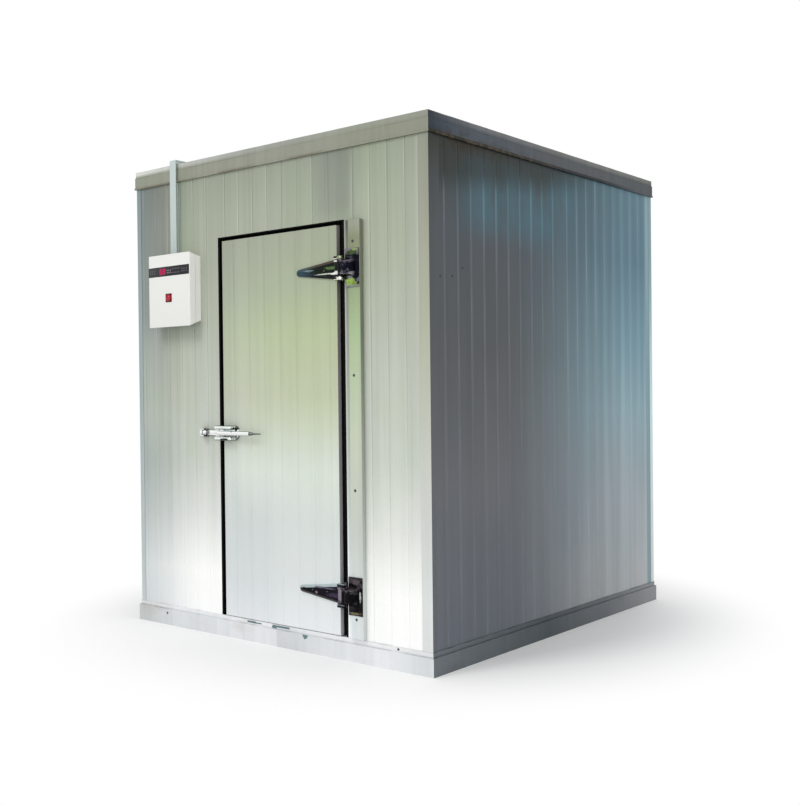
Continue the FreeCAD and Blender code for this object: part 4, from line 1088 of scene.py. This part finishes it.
makeTrunking()
print("trunking made")


# Strip for the hinges: its left edge is rolled, its screws show above and below the hinges
strip = {"roll": 0.016, "rollDepth": 0.006, "rollEnd": 0.001, "rounding": 0.003,
         "screws": (1.884, 1.287, 0.773, 0.196), "screwRadius": 0.007}


def makeStrip():
    low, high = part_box("hinge_strip")
    bm = bmesh.new()
    addBlock(bm, (low[0] + strip["roll"], low[1], low[2]), high, strip["rounding"], 3)
    finishPiece(bm, "hingeStrip", "room", "strip", ["hinge_strip"])
    bm = bmesh.new()
    outline = [(low[0], high[1]), (low[0] + strip["roll"] + 0.002, high[1]),
               (low[0] + strip["roll"] + 0.002, low[1] + 0.001),
               (low[0] + strip["rounding"], low[1] + 0.001), (low[0], low[1] + strip["rollDepth"])]
    end = strip["rollEnd"]
    start = bm.faces.new([bm.verts.new((x, y, low[2] + end)) for x, y in outline])
    extrudeFace(bm, start, (0.0, 0.0, high[2] - low[2] - 2 * end))
    finishPiece(bm, "hingeStripRoll", "room", "stripRoll")
    bm = bmesh.new()
    middle = low[0] + (high[0] - low[0]) * 0.52
    for z in strip["screws"]:
        addScrew(bm, (middle, low[1] + 0.0005, z), strip["screwRadius"])
    finishPiece(bm, "stripScrews", "room", "screw")


makeStrip()
print("hinge strip made")


# Small marks: screws in the channel's lip, painted shade in gaps along the sill under the door,
# rust on the side
marks = {
    "lipScrews": ((-0.762, 0.061, 0.012), (0.798, 0.093, 0.004)),
    "sillGapShades": ((-0.157, -0.100, 0.0940, 0.009), (-0.110, -0.058, 0.0925, 0.006),
                  (0.018, 0.133, 0.0930, 0.009), (0.014, 0.046, 0.0865, 0.007)),
    "screwRadius": 0.006,
    "crooked": (0.002, 60.0),  # how far the marks under the door wander up and down, and how fast
    "sillGapDrop": ((0.224, 0.081), (0.262, 0.081), (0.252, 0.066), (0.240, 0.060), (0.232, 0.068)),
    "dropProud": 0.0115,
    "dropDepth": 0.0009,
    "rustSpots": ((-0.967, 1.706), (-0.880, 1.712), (-0.805, 1.753)),
    "rustRadius": 0.006,
}


def makeMarks():
    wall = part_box("front_wall_left")[0][1]
    bm = bmesh.new()
    for x, z, proud in marks["lipScrews"]:
        addScrew(bm, (x, wall - proud + 0.0004, z), marks["screwRadius"])
    finishPiece(bm, "baseScrews", "room", "screw")
    bm = bmesh.new()
    lip = wall - 0.004
    for left, right, z, height in marks["sillGapShades"]:
        addBlock(bm, (left, lip - 0.0012, z - height / 2), (right, lip + 0.001, z + height / 2),
                 0.0008)
    far, fast = marks["crooked"]
    for corner in bm.verts:
        corner.co.z += far * math.sin(corner.co.x * fast)
    drop = addOutline(bm, marks["sillGapDrop"], wall - marks["dropProud"])
    extrudeFace(bm, drop, (0.0, -marks["dropDepth"], 0.0))
    finishPiece(bm, "sillGapShades", "room", "dark")
    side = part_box("right_wall_front_panel")[1][0]
    bm = bmesh.new()
    for y, z in marks["rustSpots"]:
        addRod(bm, (side - 0.001, y, z), (side + 0.0006, y, z), marks["rustRadius"], 0.0003,
               sides=14)
    finishPiece(bm, "rustSpots", "room", "rust")


makeMarks()
print("marks made")

# Studio: pale floor that fades into white, white surroundings, a broad soft key in front
studio = {
    "floorSize": 40.0,
    "fadeStart": 1.15,
    "fadeEnd": 2.05,
    "floorColour": tint(0.97, 0.97, 0.97),
    "surround": 0.73,
    "lamps": [
        {"name": "keySoftbox", "place": (4.5, -7.5, 3.2), "size": 4.0, "power": 95.0},
        {"name": "highSoftbox", "place": (-1.0, -5.5, 6.0), "size": 2.0, "power": 120.0},
    ],
}


def makeFloor():
    bm = bmesh.new()
    bmesh.ops.create_grid(bm, x_segments=1, y_segments=1, size=studio["floorSize"] / 2)
    mesh = bpy.data.meshes.new("studioFloor")
    bm.to_mesh(mesh)
    bm.free()
    floor = bpy.data.objects.new("studioFloor", mesh)
    scene.collection.objects.link(floor)
    material, shader, at = startMaterial("studioFloorPaint", 0.0, 0.9)
    shader.inputs["Base Color"].default_value = studio["floorColour"]
    seen = at.node("ShaderNodeLightPath", output="Is Camera Ray")
    distance = at.node("ShaderNodeVectorMath", {"operation": "LENGTH"}, {0: at}, 1)
    fade = distance.rise(studio["fadeStart"], studio["fadeEnd"]) * seen
    glow = at.node("ShaderNodeEmission", None, {"Color": (1.0, 1.0, 1.0, 1.0), "Strength": 1.0})
    blended = fade.node("ShaderNodeMixShader", None,
                        {0: fade, 1: Wire(at.tree, shader.outputs[0]), 2: glow})
    ending = material.node_tree.nodes["Material Output"]
    material.node_tree.links.new(blended.socket, ending.inputs["Surface"])
    mesh.materials.append(material)


def makeWorld():
    world = bpy.data.worlds.new("studioWorld")
    world.use_nodes = True
    scene.world = world
    tree = world.node_tree
    back = tree.nodes["Background"]
    start = Wire(tree)
    path = start.node("ShaderNodeLightPath")
    ways = path.socket.node.outputs
    seen = Wire(tree, ways["Is Camera Ray"]) + Wire(tree, ways["Is Glossy Ray"])
    seen = seen + Wire(tree, ways["Is Transmission Ray"])
    share = seen.sum("MINIMUM", seen, 1.0)
    strength = share * (1.0 - studio["surround"]) + studio["surround"]
    back.inputs["Color"].default_value = (1.0, 1.0, 1.0, 1.0)
    tree.links.new(strength.socket, back.inputs["Strength"])


def makeLamps():
    target = Vector((0.0, 0.0, 1.2))
    for lamp in studio["lamps"]:
        data = bpy.data.lights.new(lamp["name"], "AREA")
        data.shape = "SQUARE"
        data.size = lamp["size"]
        data.energy = lamp["power"]
        light = bpy.data.objects.new(lamp["name"], data)
        light.location = lamp["place"]
        towards = target - Vector(lamp["place"])
        light.rotation_euler = towards.to_track_quat("-Z", "Y").to_euler()
        scene.collection.objects.link(light)


makeFloor()
makeWorld()
makeLamps()
print("studio set")
